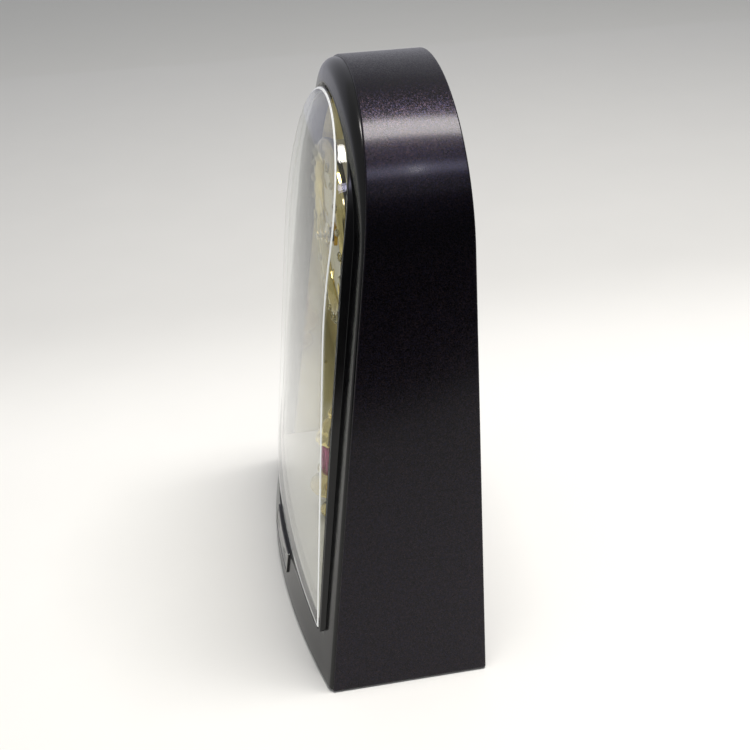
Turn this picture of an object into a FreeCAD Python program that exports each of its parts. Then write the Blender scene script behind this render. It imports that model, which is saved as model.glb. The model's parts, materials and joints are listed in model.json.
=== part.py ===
"""Mantel clock with an arch-topped case, a domed clear cover and a rotating ornament.

Frame: origin on the resting plane, under the centre of the clock. +X is the clock's own
left-right axis, the dial faces -Y, +Z is up. Lengths are millimetres.
"Depth" is measured forwards from the open back of the case; y_at(depth) turns it into Y.
"Inset" is measured inwards from the case's outer outline.
"""
import FreeCAD, Part
import math
import os

V = FreeCAD.Vector
OUT = "parts"

# ---------------------------------------------------------------- driving sizes
HEIGHT = 300.0            # top of the arch above the table
FOOT = 0.4                # the feet stand this far below the case
ARCH_A = 89.0             # half-width of the elliptical arch
ARCH_B = 76.4             # rise of the elliptical arch
FLARE = 0.1134            # the straight sides widen by this much per mm downwards
BASE_DEPTH = 82.8         # depth of the case sides at the table
LEAN = 0.1325             # the case front leans back by this much per mm upwards
CASE_WALL = 3.0

FACE_APEX = 98.0          # depth of the bowed face at the table, on the centre line
FACE_LEAN = 0.160
FACE_BOW = 0.001057       # plan curvature term of the face, per mm
FACE_WALL = 2.5
RIM_PROUD = 2.4           # the black rim round the cover stands this proud of the face
RIM_RISE = 0.0095         # and this much more per mm upwards
RIM_APEX = 105.8          # a steeper plane brings the rim down to the face towards the top
RIM_LEAN = 0.20

COVER_INSET = 15.0
COVER_BOTTOM = 28.7
COVER_APEX = 95.93
COVER_LEAN = 0.105
COVER_BOW = 0.000641
COVER_ROLL = 0.001204     # the cover rolls back above COVER_BREAK with this term, per mm
COVER_BREAK = 183.8
COVER_WALL = 2.0

PANEL_BACK = 34.0         # depth of the back panel's rear face
PANEL_FRONT = 36.0
REAR_OUT = 1.0            # rear cover, outer and inner face
REAR_IN = 3.2

FLOOR_Z = 30.8            # underside of the chamber floor
FLOOR_TOP = 32.3

DIAL_Z = 210.0            # height of the hands' axis
DRUM_R = 48.0
DIAL_BACK = 51.0          # depth of the dial plate's rear face
DIAL_FACE = 52.2
RING_FACE = 57.0

SPIN_DEPTH = 60.0         # depth of the ornament's vertical axis

RUNNING = 0.06            # radial clearance of a shaft in its hole
PIVOT_R = 0.5

PATCH_HALF = 130.0        # reach of the curved patches that trim the face and the cover
PATCH_LOW, PATCH_TOP = -20.0, 330.0

REACH = 97.65             # depth of the foremost point, above the face's rounded lower edge
Y_BACK = REACH / 2.0      # puts the origin under the middle of the clock
ARCH_Z = HEIGHT - ARCH_B


def y_at(depth):
    return Y_BACK - depth


# ---------------------------------------------------------------- basic solids
def side_start(inset):
    """Point where the straight side meets the arch, for an outline set in by inset."""
    a, b = ARCH_A - inset, ARCH_B - inset
    turn = math.atan(FLARE * b / a)
    return a * math.cos(turn), ARCH_Z + b * math.sin(turn), turn


def half_width(z, inset=0.0):
    """Half-width of the outline at height z."""
    x0, z0, _ = side_start(inset)
    if z < z0:
        return x0 + FLARE * (z0 - z)
    rise = (z - ARCH_Z) / (ARCH_B - inset)
    return (ARCH_A - inset) * math.sqrt(max(0.0, 1.0 - rise * rise))


def prism(inset, bottom, near, far, corner=0.0):
    """The case outline, set in by inset, between two depths."""
    a, b = ARCH_A - inset, ARCH_B - inset
    x0, z0, turn = side_start(inset)
    wide = half_width(bottom, inset)
    y = y_at(near)
    ellipse = Part.Ellipse(V(a, y, ARCH_Z), V(0, y, ARCH_Z + b), V(0, y, ARCH_Z))
    edges = [
        Part.LineSegment(V(-wide, y, bottom), V(wide, y, bottom)).toShape(),
        Part.LineSegment(V(wide, y, bottom), V(x0, y, z0)).toShape(),
        Part.ArcOfEllipse(ellipse, turn, math.pi / 2).toShape(),
        Part.ArcOfEllipse(ellipse, math.pi / 2, math.pi - turn).toShape(),
        Part.LineSegment(V(-x0, y, z0), V(-wide, y, bottom)).toShape(),
    ]
    solid = Part.Face(Part.Wire(edges)).extrude(V(0, near - far, 0))
    if corner:
        feet = [e for e in solid.Edges if is_corner(e, bottom)]
        solid = solid.makeFillet(corner, feet)
    return solid


def is_corner(edge, bottom):
    """True for the two bottom edges that run front to back."""
    low = all(abs(v.Z - bottom) < 1e-6 for v in edge.Vertexes)
    ends = [v.Y for v in edge.Vertexes]
    return low and len(ends) == 2 and abs(ends[0] - ends[1]) > 1.0


def behind_bow(apex, lean, bow, roll=0.0, brk=150.0):
    """Everything behind a face that leans, bows in plan and rolls back near the top.

    depth(x, z) = apex - lean z - bow x^2 - roll max(0, z - brk)^2, as one exact patch.
    """
    xs = (-PATCH_HALF, 0.0, PATCH_HALF)
    sweep = bow * PATCH_HALF ** 2
    plan = (sweep, -sweep, sweep)
    low, top = PATCH_LOW, PATCH_TOP
    span = top - brk
    heights = (low, (low + brk) / 2, brk, brk + span / 2, top)
    side = [lean * z for z in heights]
    side[4] += roll * span ** 2
    poles = []
    for x, bowed in zip(xs, plan):
        row = [V(x, y_at(apex) + bowed + back, z) for z, back in zip(heights, side)]
        poles.append(row)
    patch = Part.BSplineSurface()
    patch.buildFromPolesMultsKnots(poles, [3, 3], [3, 2, 3], [0.0, 1.0],
                                   [low, brk, top], False, False, 2, 2)
    return patch.toShape().extrude(V(0, 200, 0))


def behind_face(shift=0.0):
    return behind_bow(FACE_APEX + shift, FACE_LEAN, FACE_BOW)


def behind_cover(shift=0.0):
    return behind_bow(COVER_APEX + shift, COVER_LEAN, COVER_BOW, COVER_ROLL, COVER_BREAK)


def case_front(z):
    """Depth of the case sides at height z."""
    return BASE_DEPTH - LEAN * z


def behind_plane(apex, lean):
    """Everything behind the leaning plane depth = apex - lean z."""
    low, top = -60.0, 400.0
    points = [
        V(-150, y_at(-80.0), low),
        V(-150, y_at(apex - lean * low), low),
        V(-150, y_at(apex - lean * top), top),
        V(-150, y_at(-80.0), top),
    ]
    return Part.Face(Part.makePolygon(points + points[:1])).extrude(V(300, 0, 0))


def behind_lean(shift=0.0):
    """Everything behind the case front's plane, moved forwards by shift."""
    return behind_plane(BASE_DEPTH + shift, LEAN)


def box(x0, x1, d0, d1, z0, z1):
    """Box between two x, two depths and two heights."""
    return Part.makeBox(x1 - x0, d1 - d0, z1 - z0, V(x0, y_at(d1), z0))


def rod(x, z, r, d0, d1):
    """Cylinder that runs front to back, from depth d0 to depth d1."""
    return Part.makeCylinder(r, d1 - d0, V(x, y_at(d0), z), V(0, -1, 0))


def post(x, depth, r, z0, z1):
    """Upright cylinder."""
    return Part.makeCylinder(r, z1 - z0, V(x, y_at(depth), z0))


def turned(profile, x, depth):
    """Body of revolution about an upright axis, from (radius, height) points."""
    y = y_at(depth)
    points = [V(x + r, y, z) for r, z in profile]
    face = Part.Face(Part.makePolygon(points + points[:1]))
    return face.revolve(V(x, y, 0), V(0, 0, 1), 360)


def join(first, *others):
    return first.fuse(list(others)).removeSplitter()


# ---------------------------------------------------------------- gears
PRESSURE = math.radians(25.0)
ADDENDUM = 0.60
DEDENDUM = 0.85
SLACK = 0.16              # share of each tooth's thickness given up as backlash
FLANK_STEPS = 4


def tooth_points(teeth, module, phase):
    """Outline of an involute gear: each flank is a few chords of the true involute."""
    pitch = teeth * module / 2
    base = pitch * math.cos(PRESSURE)
    tip = pitch + ADDENDUM * module
    root = pitch - DEDENDUM * module
    start = max(base, root)

    def inv(r):
        a = math.acos(min(1.0, base / r))
        return math.tan(a) - a

    half = math.pi / (2 * teeth) * (1 - SLACK)
    flank = [start + (tip - start) * i / (FLANK_STEPS - 1) for i in range(FLANK_STEPS)]
    sides = [(r, half + inv(pitch) - inv(r)) for r in flank]
    if root < base:
        sides.insert(0, (root, sides[0][1]))
    points = []
    for n in range(teeth):
        centre = phase + 2 * math.pi * n / teeth
        points += [(r, centre - a) for r, a in sides]
        points += [(r, centre + a) for r, a in reversed(sides)]
    return points


def gear_y(teeth, module, x, z, d0, d1, phase=0.0):
    """Gear on a front-to-back axis; phase is the angle of one tooth from +X towards +Z."""
    ring = [V(x + r * math.cos(a), y_at(d0), z + r * math.sin(a))
            for r, a in tooth_points(teeth, module, phase)]
    return Part.Face(Part.makePolygon(ring + ring[:1])).extrude(V(0, d0 - d1, 0))


def gear_z(teeth, module, x, depth, z0, z1, phase=0.0):
    """Gear on an upright axis; phase is the angle of one tooth from +X towards +Y."""
    ring = [V(x + r * math.cos(a), y_at(depth) + r * math.sin(a), z0)
            for r, a in tooth_points(teeth, module, phase)]
    return Part.Face(Part.makePolygon(ring + ring[:1])).extrude(V(0, 0, z1 - z0))


def facing(teeth, line, tooth):
    """Phase that puts a tooth (or, if tooth is False, a gap) on the line of centres."""
    return line if tooth else line + math.pi / teeth


# ---------------------------------------------------------------- case and covers
FOOT_X, FOOT_NEAR, FOOT_FAR = 92.0, 14.0, 70.0


def foot_pads(grow=0.0):
    solids = []
    for x in (-FOOT_X, FOOT_X):
        for depth in (FOOT_NEAR, FOOT_FAR):
            solids.append(post(x, depth, 7.0 + grow, 0.0, FOOT + 1.0 + grow))
    return solids


def case_shell():
    outer = prism(0.0, FOOT, 0.0, 120.0, corner=1.2).common(behind_lean())
    shell = outer.cut(prism(CASE_WALL, FOOT + CASE_WALL, -5.0, 125.0))
    for pad in foot_pads(grow=0.05):
        shell = shell.cut(pad)
    rim = [e for e in shell.Edges if on_outer_front(e)]
    return shell.makeChamfer(0.8, rim)


def on_outer_front(edge):
    """Edges of the case's outer outline that lie in its leaning front plane."""
    for p in (edge.valueAt(edge.FirstParameter), edge.valueAt(edge.LastParameter)):
        if abs(y_at(case_front(p.z)) - p.y) > 1e-4:
            return False
    middle = edge.valueAt((edge.FirstParameter + edge.LastParameter) / 2)
    if abs(middle.z - FOOT) < 0.01:
        return True
    return abs(abs(middle.x) - half_width(middle.z)) < 1.0 and middle.z > FOOT


FACE_INSET = 1.1
POST_INSET = 9.4
FRAME_POSTS = (70.0, 205.0)


def frame_post_places():
    places = []
    for z in FRAME_POSTS:
        x = half_width(z, POST_INSET)
        places += [(-x, z), (x, z)]
    return places


def front_frame():
    body = prism(FACE_INSET, FOOT + 0.6, 30.0, 110.0, corner=1.2)
    body = body.common(behind_face()).cut(behind_lean())
    body = body.makeFillet(1.0, [e for e in body.Edges if on_face_rim(e)])
    hollow = prism(3.8, FOOT + 3.4, 20.0, 112.0).common(behind_face(-FACE_WALL))
    body = body.cut(hollow)
    tongue = prism(3.2, FOOT + 3.2, 20.0, 110.0).cut(prism(5.4, FOOT + 5.4, 19.0, 111.0))
    tongue = tongue.common(behind_lean(1.5)).cut(behind_lean(-6.5))
    rim = prism(12.6, COVER_BOTTOM - 1.5, 20.0, 110.0, corner=3.0)
    rim = rim.common(behind_bow(FACE_APEX + RIM_PROUD, FACE_LEAN - RIM_RISE, FACE_BOW))
    rim = rim.common(behind_plane(RIM_APEX, RIM_LEAN))
    rim = rim.common(behind_cover(-0.15))
    rim = rim.cut(behind_face(-FACE_WALL + 0.5))
    body = body.fuse([tongue, rim])
    for x, z in frame_post_places():
        stem = rod(x, z, 3.5, PANEL_FRONT, 100.0).common(behind_face(-FACE_WALL + 0.8))
        body = body.fuse(stem)
    body = body.cut(prism(COVER_INSET - 0.15, COVER_BOTTOM - 0.15, 10.0, 115.0, corner=1.5))
    for x, z in frame_post_places():
        body = body.cut(rod(x, z, 1.3, PANEL_FRONT - 1.0, PANEL_FRONT + 10.0))
    return body.removeSplitter()


def on_face_rim(edge):
    """Edges where the frame's bowed face meets its side wall."""
    middle = edge.valueAt((edge.FirstParameter + edge.LastParameter) / 2)
    depth = Y_BACK - middle.y
    face = FACE_APEX - FACE_LEAN * middle.z - FACE_BOW * middle.x ** 2
    return abs(depth - face) < 0.02 and depth - case_front(middle.z) > 0.2


def front_cover():
    outer = prism(COVER_INSET, COVER_BOTTOM, 20.0, 110.0, corner=1.4)
    outer = outer.common(behind_cover())
    inner = prism(COVER_INSET + COVER_WALL, COVER_BOTTOM + COVER_WALL, 15.0, 115.0)
    inner = inner.common(behind_cover(-COVER_WALL - 0.1))
    shell = outer.cut(inner).cut(behind_lean(-3.0))
    flange = prism(11.8, COVER_BOTTOM - 3.0, 20.0, 110.0)
    flange = flange.cut(inner).common(behind_lean(-1.6)).cut(behind_lean(-3.0))
    for x, z in frame_post_places():
        flange = flange.cut(rod(x, z, 3.8, 20.0, 110.0))
    return join(shell, flange)


def gold_liner():
    ring = prism(COVER_INSET + 0.6, FLOOR_Z, PANEL_FRONT, 110.0)
    ring = ring.cut(prism(COVER_INSET + 1.8, FLOOR_Z - 5.0, PANEL_FRONT - 1.0, 111.0))
    return ring.common(behind_lean(-3.1))


def floor_plate():
    deck = box(-120, 120, PANEL_FRONT + 0.1, 100.0, FLOOR_Z, FLOOR_TOP)
    deck = deck.common(prism(COVER_INSET + COVER_WALL + 0.2, 10.0, 20.0, 110.0))
    deck = deck.common(behind_cover(-COVER_WALL - 0.6))
    deck = deck.cut(post(0, SPIN_DEPTH, 4.05, FLOOR_Z - 1, FLOOR_TOP + 1))
    for x, depth in PILLARS:
        deck = deck.cut(post(x, depth, 1.6, FLOOR_Z - 1, FLOOR_TOP + 1))
    return deck


REAR_POST_INSET = 12.0
REAR_POSTS = (22.0, 120.0, 226.0)


def rear_post_places():
    places = []
    for z in REAR_POSTS:
        x = half_width(z, REAR_POST_INSET)
        places += [(-x, z), (x, z)]
    return places


MOVEMENT_HALF = 28.0


def back_panel():
    panel = prism(3.6, FOOT + 3.8, PANEL_BACK, PANEL_FRONT)
    half = MOVEMENT_HALF + 0.4
    panel = panel.cut(box(-half, half, 30, 40, DIAL_Z - half, DIAL_Z + half))
    for x, z in rear_post_places():
        panel = panel.fuse(rod(x, z, 4.0, REAR_IN + 0.1, PANEL_BACK))
    for x, z in rear_post_places():
        panel = panel.cut(rod(x, z, 1.2, REAR_IN, 20.0))
    for x, z in frame_post_places():
        panel = panel.cut(rod(x, z, 1.75, PANEL_BACK - 1, PANEL_FRONT + 1))
    return panel.removeSplitter()


BADGE = (52.0, 13.0, 18.6)    # width, height, centre height


def badge_plate():
    wide, high, z = BADGE
    slab = box(-wide / 2, wide / 2, 85.0, 105.0, z - high / 2, z + high / 2)
    slab = slab.makeFillet(0.8, [e for e in slab.Edges if abs(e.Length - 20.0) < 1e-6])
    return slab.common(behind_face(1.2)).cut(behind_face(0.0))


# ---------------------------------------------------------------- rear side
DOOR_X, DOOR_LOW, DOOR_TOP = 31.5, 41.4, 74.6
HINGE_Z, HINGE_DEPTH = 42.3, 1.8
KNOB_WELL_R = 12.5
SWITCH_X, SWITCH_Z = 58.0, 58.0
SWITCH_TRAVEL = 3.0


def rear_cover():
    plate = prism(CASE_WALL + 0.2, FOOT + CASE_WALL + 0.2, REAR_OUT, REAR_IN)
    lip = prism(CASE_WALL + 0.2, FOOT + CASE_WALL + 0.2, REAR_IN, 8.0)
    lip = lip.cut(prism(CASE_WALL + 2.2, FOOT + CASE_WALL + 2.2, 2.0, 9.0))
    cup = rod(KNOB_X, KNOB_Z, KNOB_WELL_R + 1.5, REAR_IN, 8.5)
    cover = plate.fuse([lip, cup])
    cover = cover.cut(rod(KNOB_X, KNOB_Z, KNOB_WELL_R, 0.0, 7.2))
    cover = cover.cut(rod(KNOB_X, KNOB_Z, 2.1, 0.0, 9.0))
    cover = cover.cut(box(-DOOR_X - 0.4, DOOR_X + 0.4, 0, 4, DOOR_LOW - 0.9, DOOR_TOP + 0.4))
    cover = cover.cut(box(SWITCH_X - 4, SWITCH_X + 4 + SWITCH_TRAVEL, 0, 4,
                          SWITCH_Z - 2.4, SWITCH_Z + 2.4))
    for x, z in rear_post_places():
        cover = cover.cut(rod(x, z, 3.4, 0.0, 2.2))
        cover = cover.cut(rod(x, z, 1.75, 0.0, 5.0))
    for n in range(7):
        z = 236.0 + 5.0 * n
        cover = cover.cut(box(-22, 22, 0, 4, z, z + 1.8))
    return cover.removeSplitter()


def rear_screws():
    return [screw_y(x, z, 0.7, 2.15, 3.1, 1.15, 14.0) for x, z in rear_post_places()]


def screw_y(x, z, outer, seat, head_r, r, length):
    """Pan-head screw driven forwards; a cross recess is sunk in its head."""
    body = rod(x, z, head_r, outer, seat).fuse(rod(x, z, r, seat, seat + length))
    for wide, high in ((3.0, 0.7), (0.7, 3.0)):
        slot = box(x - wide / 2, x + wide / 2, outer - 1, outer + 0.8, z - high / 2, z + high / 2)
        body = body.cut(slot)
    return body


def frame_screws():
    solids = []
    for x, z in frame_post_places():
        solids.append(screw_y(x, z, PANEL_BACK - 1.8, PANEL_BACK - 0.05, 3.0, 1.25, 9.0))
    return solids


CELL_R, CELL_LENGTH = 7.1, 49.2
CELL_DEPTH = 11.6
CELLS = ((50.0, 1), (66.2, -1))    # height, direction of the nub


def battery_holder():
    tray = box(-34.0, 34.0, REAR_IN + 0.1, 21.0, 40.6, 75.6)
    for z, _ in CELLS:
        tray = tray.cut(rod_x(-32.4, 32.4, CELL_DEPTH, z, CELL_R + 0.3))
        tray = tray.cut(box(-32.4, 32.4, 0, CELL_DEPTH, z - CELL_R - 0.3, z + CELL_R + 0.3))
    latch_room = box(-7.0, 7.0, 0, 5.2, DOOR_TOP - 3.2, DOOR_TOP + 2.0)
    return tray.cut(latch_room).removeSplitter()


def rod_x(x0, x1, depth, z, r):
    """Cylinder that runs left to right."""
    return Part.makeCylinder(r, x1 - x0, V(x0, y_at(depth), z), V(1, 0, 0))


def batteries():
    solids = []
    for z, way in CELLS:
        body = rod_x(-CELL_LENGTH / 2, CELL_LENGTH / 2, CELL_DEPTH, z, CELL_R)
        tip = CELL_LENGTH / 2
        nub = rod_x(tip, tip + 1.3, CELL_DEPTH, z, 2.7)
        if way < 0:
            nub = rod_x(-tip - 1.3, -tip, CELL_DEPTH, z, 2.7)
        solids.append(body.fuse(nub))
    return solids


def battery_flat_contacts():
    """Plates that meet each cell's nub."""
    solids = []
    for z, way in CELLS:
        x = way * 26.6
        plate = box(min(x, x - way * 0.4), max(x, x - way * 0.4), 6.0, 17.0, z - 5, z + 5)
        rest = box(min(x, way * 32.3), max(x, way * 32.3), 10.5, 12.5, z - 1.5, z + 1.5)
        solids.append(plate.fuse(rest))
    return solids


def battery_spring_contacts():
    """Leaf springs, each a bent strip, that press on each cell's flat end."""
    solids = []
    for z, way in CELLS:
        near, far = -way * (CELL_LENGTH / 2 + 0.3), -way * 32.2
        middle = (near + far) / 2
        line = [(far, 5.5), (far, 17.5), (middle, 15.5), (near, 11.6), (middle, 8.0)]
        solids.append(strip(line, 0.35, z - 3.5, z + 3.5))
    return solids


def strip(line, thick, z0, z1):
    """Bent strip of even thickness along a polyline of (x, depth) points."""
    solid = None
    for (xa, da), (xb, db) in zip(line, line[1:]):
        run = V(xb - xa, da - db, 0)
        side = V(-run.y, run.x, 0).normalize() * (thick / 2)
        a, b = V(xa, y_at(da), z0), V(xb, y_at(db), z0)
        ring = [a + side, b + side, b - side, a - side, a + side]
        piece = Part.Face(Part.makePolygon(ring)).extrude(V(0, 0, z1 - z0))
        joint = Part.makeCylinder(thick / 2, z1 - z0, b)
        solid = piece.fuse(joint) if solid is None else solid.fuse([piece, joint])
    return solid


def battery_door():
    door = box(-DOOR_X, DOOR_X, REAR_OUT, 2.6, DOOR_LOW, DOOR_TOP)
    barrel = rod_x(-DOOR_X, DOOR_X, HINGE_DEPTH, HINGE_Z, 0.9)
    door = door.fuse(barrel)
    grip = box(-9, 9, 0.4, REAR_OUT, DOOR_TOP - 7.0, DOOR_TOP - 6.0)
    ribs = [grip.translated(V(0, 0, -2.0 * n)) for n in range(3)]
    door = door.fuse(ribs)
    latch = box(-6, 6, 2.6, 4.4, DOOR_TOP - 2.0, DOOR_TOP - 0.6)
    return door.fuse(latch).removeSplitter()


def rotation_switch_knob():
    cap = box(SWITCH_X - 2.2, SWITCH_X + 2.2, 0.5, 3.6, SWITCH_Z - 1.8, SWITCH_Z + 1.8)
    ribs = box(SWITCH_X - 0.4, SWITCH_X + 0.4, 0.1, 0.5, SWITCH_Z - 1.8, SWITCH_Z + 1.8)
    skirt = box(SWITCH_X - 3.8, SWITCH_X + 3.8, 3.6, 4.4, SWITCH_Z - 3.4, SWITCH_Z + 3.4)
    return cap.fuse([ribs, skirt]).removeSplitter()


def rotation_switch_body():
    case = box(SWITCH_X - 7, SWITCH_X + 10, 4.8, 9.6, SWITCH_Z - 4, SWITCH_Z + 4)
    legs = [box(SWITCH_X + x, SWITCH_X + x + 0.6, 9.6, 10.0, SWITCH_Z - 1, SWITCH_Z + 1)
            for x in (-4.0, 1.0, 6.0)]
    return case.fuse(legs)


def control_board():
    return box(44.0, 84.0, 10.0, 11.6, 48.0, 84.0)


def board_components():
    """Chip, two electrolytic capacitors, a resistor and a lead socket on the board."""
    chip = box(52, 60, 11.6, 13.0, 68, 74)
    cans = [rod(68 + 8 * n, 74, 2.5, 11.6, 18.0) for n in range(2)]
    resistor = box(66, 72, 11.6, 12.4, 60, 62.4)
    socket = box(70, 78, 11.6, 16.0, 50, 55)
    return [chip, *cans, resistor, socket]


# ---------------------------------------------------------------- dial and hands
def dial_drum():
    wall = rod(0, DIAL_Z, DRUM_R, PANEL_FRONT + 0.05, DIAL_BACK)
    return wall.cut(rod(0, DIAL_Z, DRUM_R - 2.0, 30.0, 60.0))


def dial_plate():
    plate = rod(0, DIAL_Z, DRUM_R - 0.6, DIAL_BACK, DIAL_FACE)
    return plate.cut(rod(0, DIAL_Z, BUSH_R + 0.1, 45.0, 60.0))


RING_PROFILE = ((40.5, 52.2), (40.5, 53.4), (42.0, 56.2), (44.0, 57.0), (46.8, 57.0),
                (49.4, 55.4), (50.0, 53.0), (50.0, 50.0), (48.1, 50.0), (48.1, 52.2))


def dial_ring():
    """Gold moulding round the dial, turned about the hands' axis."""
    points = [V(r, y_at(depth), DIAL_Z) for r, depth in RING_PROFILE]
    face = Part.Face(Part.makePolygon(points + points[:1]))
    return face.revolve(V(0, 0, DIAL_Z), V(0, -1, 0), 360)


def hour_markers():
    """Applied batons at the twelve hours, longer at the quarters."""
    solids = []
    for n in range(12):
        long = n % 3 == 0
        inner, half = (29.0, 1.1) if long else (31.5, 0.7)
        bar = box(-half, half, DIAL_FACE, DIAL_FACE + 0.9, DIAL_Z + inner, DIAL_Z + 38.0)
        bar.rotate(V(0, 0, DIAL_Z), V(0, 1, 0), 30.0 * n)
        solids.append(bar)
    return solids


STONES = 24
STONE_RING_R = 45.4


def dial_crystals():
    """Faceted stones set round the ring: a girdle, a crown and a flat table each."""
    solids = []
    for n in range(STONES):
        turn = 2 * math.pi * (n + 0.5) / STONES
        x = STONE_RING_R * math.sin(turn)
        z = DIAL_Z + STONE_RING_R * math.cos(turn)
        size = 2.6 if n % 2 else 2.0
        girdle = polygon_y(8, size, x, z, RING_FACE)
        table = polygon_y(8, size * 0.55, x, z, RING_FACE + 1.3)
        solids.append(Part.makeLoft([girdle, table], True, True))
    return solids


def polygon_y(sides, r, x, z, depth):
    """Regular polygon wire that faces forwards."""
    points = []
    for n in range(sides):
        a = 2 * math.pi * n / sides
        points.append(V(x + r * math.cos(a), y_at(depth), z + r * math.sin(a)))
    return Part.makePolygon(points + points[:1])


BUSH_R = 3.9
HOUR_HAND = (57.3, 58.0)
MINUTE_HAND = (59.4, 60.1)
SECOND_HAND = (61.8, 62.3)
REST_HOUR, REST_MINUTE, REST_SECOND = -52.0, 61.0, 152.0    # degrees clockwise from twelve


def leaf_hand(length, width, tail, depths, hub, bore):
    """Leaf-shaped hand: two arcs from the hub to the tip, with a short tail."""
    near, far = depths
    y = y_at(near)
    tip, root = V(0, y, DIAL_Z + length), V(0, y, DIAL_Z + length * 0.34)
    bulge = DIAL_Z + length * 0.66
    right = Part.Arc(root, V(width, y, bulge), tip).toShape()
    left = Part.Arc(tip, V(-width, y, bulge), root).toShape()
    leaf = Part.Face(Part.Wire([right, left])).extrude(V(0, near - far, 0))
    stem = box(-0.75, 0.75, near, far, DIAL_Z - tail, DIAL_Z + length * 0.40)
    boss = rod(0, DIAL_Z, hub, near, far)
    return join(boss, leaf, stem).cut(rod(0, DIAL_Z, bore, near - 1, far + 1))


def turned_to(shape, degrees):
    """Turn a hand clockwise from twelve, as seen from the front."""
    shape.rotate(V(0, 0, DIAL_Z), V(0, 1, 0), degrees)
    return shape


def hour_hand():
    return turned_to(leaf_hand(25.0, 3.4, 0.5, HOUR_HAND, 4.2, HOUR_PIPE_R), REST_HOUR)


def minute_hand():
    return turned_to(leaf_hand(36.0, 2.9, 0.5, MINUTE_HAND, 3.4, MINUTE_PIPE_R), REST_MINUTE)


def second_hand():
    near, far = SECOND_HAND
    needle = box(-0.4, 0.4, near, far, DIAL_Z - 12.0, DIAL_Z + 34.0)
    boss = rod(0, DIAL_Z, 2.4, near, far)
    tail = rod(0, DIAL_Z - 12.0, 1.8, near, far)
    hand = join(needle, boss, tail).cut(rod(0, DIAL_Z, SECOND_R, near - 1, far + 1))
    return turned_to(hand, REST_SECOND)


def dial_nut():
    nut = Part.Face(polygon_y(6, 6.3, 0, DIAL_Z, DIAL_FACE)).extrude(V(0, -1.8, 0))
    return nut.cut(rod(0, DIAL_Z, BUSH_R + 0.02, 50.0, 60.0))


# ---------------------------------------------------------------- quartz movement
SECOND_R = 0.6
MINUTE_PIPE_R = 1.5
HOUR_PIPE_R = 2.4
PLATE_D = (48.0, 50.0)
SHELL_D = (32.4, 48.0)

THIRD_CD = 12.24
MOTION_CD = 12.0
SECOND_CD = 12.6
ROTOR_CD = 10.5


def polar(x, z, distance, degrees):
    a = math.radians(degrees)
    return x + distance * math.cos(a), z + distance * math.sin(a)


THIRD_DIR, MINUTE_DIR, INTER_DIR, ROTOR_DIR, KNOB_DIR = 200.0, -40.0, 90.0, 30.0, -60.0
THIRD_X, THIRD_Z = polar(0, DIAL_Z, THIRD_CD, THIRD_DIR)
MOTION_X, MOTION_Z = polar(0, DIAL_Z, MOTION_CD, MINUTE_DIR)
INTER_X, INTER_Z = polar(0, DIAL_Z, SECOND_CD, INTER_DIR)
ROTOR_X, ROTOR_Z = polar(INTER_X, INTER_Z, ROTOR_CD, ROTOR_DIR)
KNOB_X, KNOB_Z = polar(MOTION_X, MOTION_Z, MOTION_CD, KNOB_DIR)
ARBORS = ((THIRD_X, THIRD_Z), (MOTION_X, MOTION_Z), (INTER_X, INTER_Z), (ROTOR_X, ROTOR_Z))
ARBOR_D = (33.0, 49.0)


def movement_front_plate():
    half = MOVEMENT_HALF
    plate = box(-half, half, *PLATE_D, DIAL_Z - half, DIAL_Z + half)
    plate = plate.fuse(rod(0, DIAL_Z, BUSH_R, 50.0, 55.6))
    plate = plate.cut(rod(0, DIAL_Z, HOUR_PIPE_R + 0.08, 40.0, 60.0))
    for x, z in ARBORS:
        plate = plate.cut(rod(x, z, PIVOT_R + RUNNING, 47.0, ARBOR_D[1] + 0.2))
    return plate


def movement_rear_case():
    half = MOVEMENT_HALF
    low, high = DIAL_Z - half, DIAL_Z + half
    case = box(-half, half, *SHELL_D, low, high)
    case = case.cut(box(-half + 1.5, half - 1.5, SHELL_D[0] + 1.6, 50, low + 1.5, high - 1.5))
    for x, z in ARBORS:
        case = case.cut(rod(x, z, PIVOT_R + RUNNING, ARBOR_D[0] - 0.2, 36.0))
    case = case.cut(rod(0, DIAL_Z, SECOND_R + RUNNING, ARBOR_D[0] - 0.2, 36.0))
    return case.cut(rod(KNOB_X, KNOB_Z, 1.5 + RUNNING, 30.0, 36.0))


def centre_wheel():
    wheel = gear_y(64, 0.34, 0, DIAL_Z, 41.6, 42.6, facing(64, math.radians(THIRD_DIR), True))
    hub = rod(0, DIAL_Z, 2.6, 41.0, 43.2)
    return join(hub, wheel).cut(rod(0, DIAL_Z, MINUTE_PIPE_R + 0.03, 40, 50))


def minute_pipe():
    """Cannon pinion on a long pipe that carries the minute hand."""
    pinion = gear_y(12, 0.5, 0, DIAL_Z, 43.6, 45.4, facing(12, math.radians(MINUTE_DIR), True))
    pipe = rod(0, DIAL_Z, MINUTE_PIPE_R, 40.9, 60.6)
    return join(pipe, pinion).cut(rod(0, DIAL_Z, SECOND_R + 0.08, 35, 70))


def minute_wheel():
    wheel = gear_y(36, 0.5, MOTION_X, MOTION_Z, 43.9, 45.1,
                   facing(36, math.radians(MINUTE_DIR + 180), False))
    pinion = gear_y(10, 0.48, MOTION_X, MOTION_Z, 45.1, 47.4,
                    facing(10, math.radians(MINUTE_DIR + 180), True))
    arbor = rod(MOTION_X, MOTION_Z, PIVOT_R, *ARBOR_D)
    return join(arbor, wheel, pinion)


def hour_wheel():
    wheel = gear_y(40, 0.48, 0, DIAL_Z, 46.2, 47.4, facing(40, math.radians(MINUTE_DIR), False))
    pipe = rod(0, DIAL_Z, HOUR_PIPE_R, 45.9, 58.4)
    return join(pipe, wheel).cut(rod(0, DIAL_Z, MINUTE_PIPE_R + 0.08, 40, 60))


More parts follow.
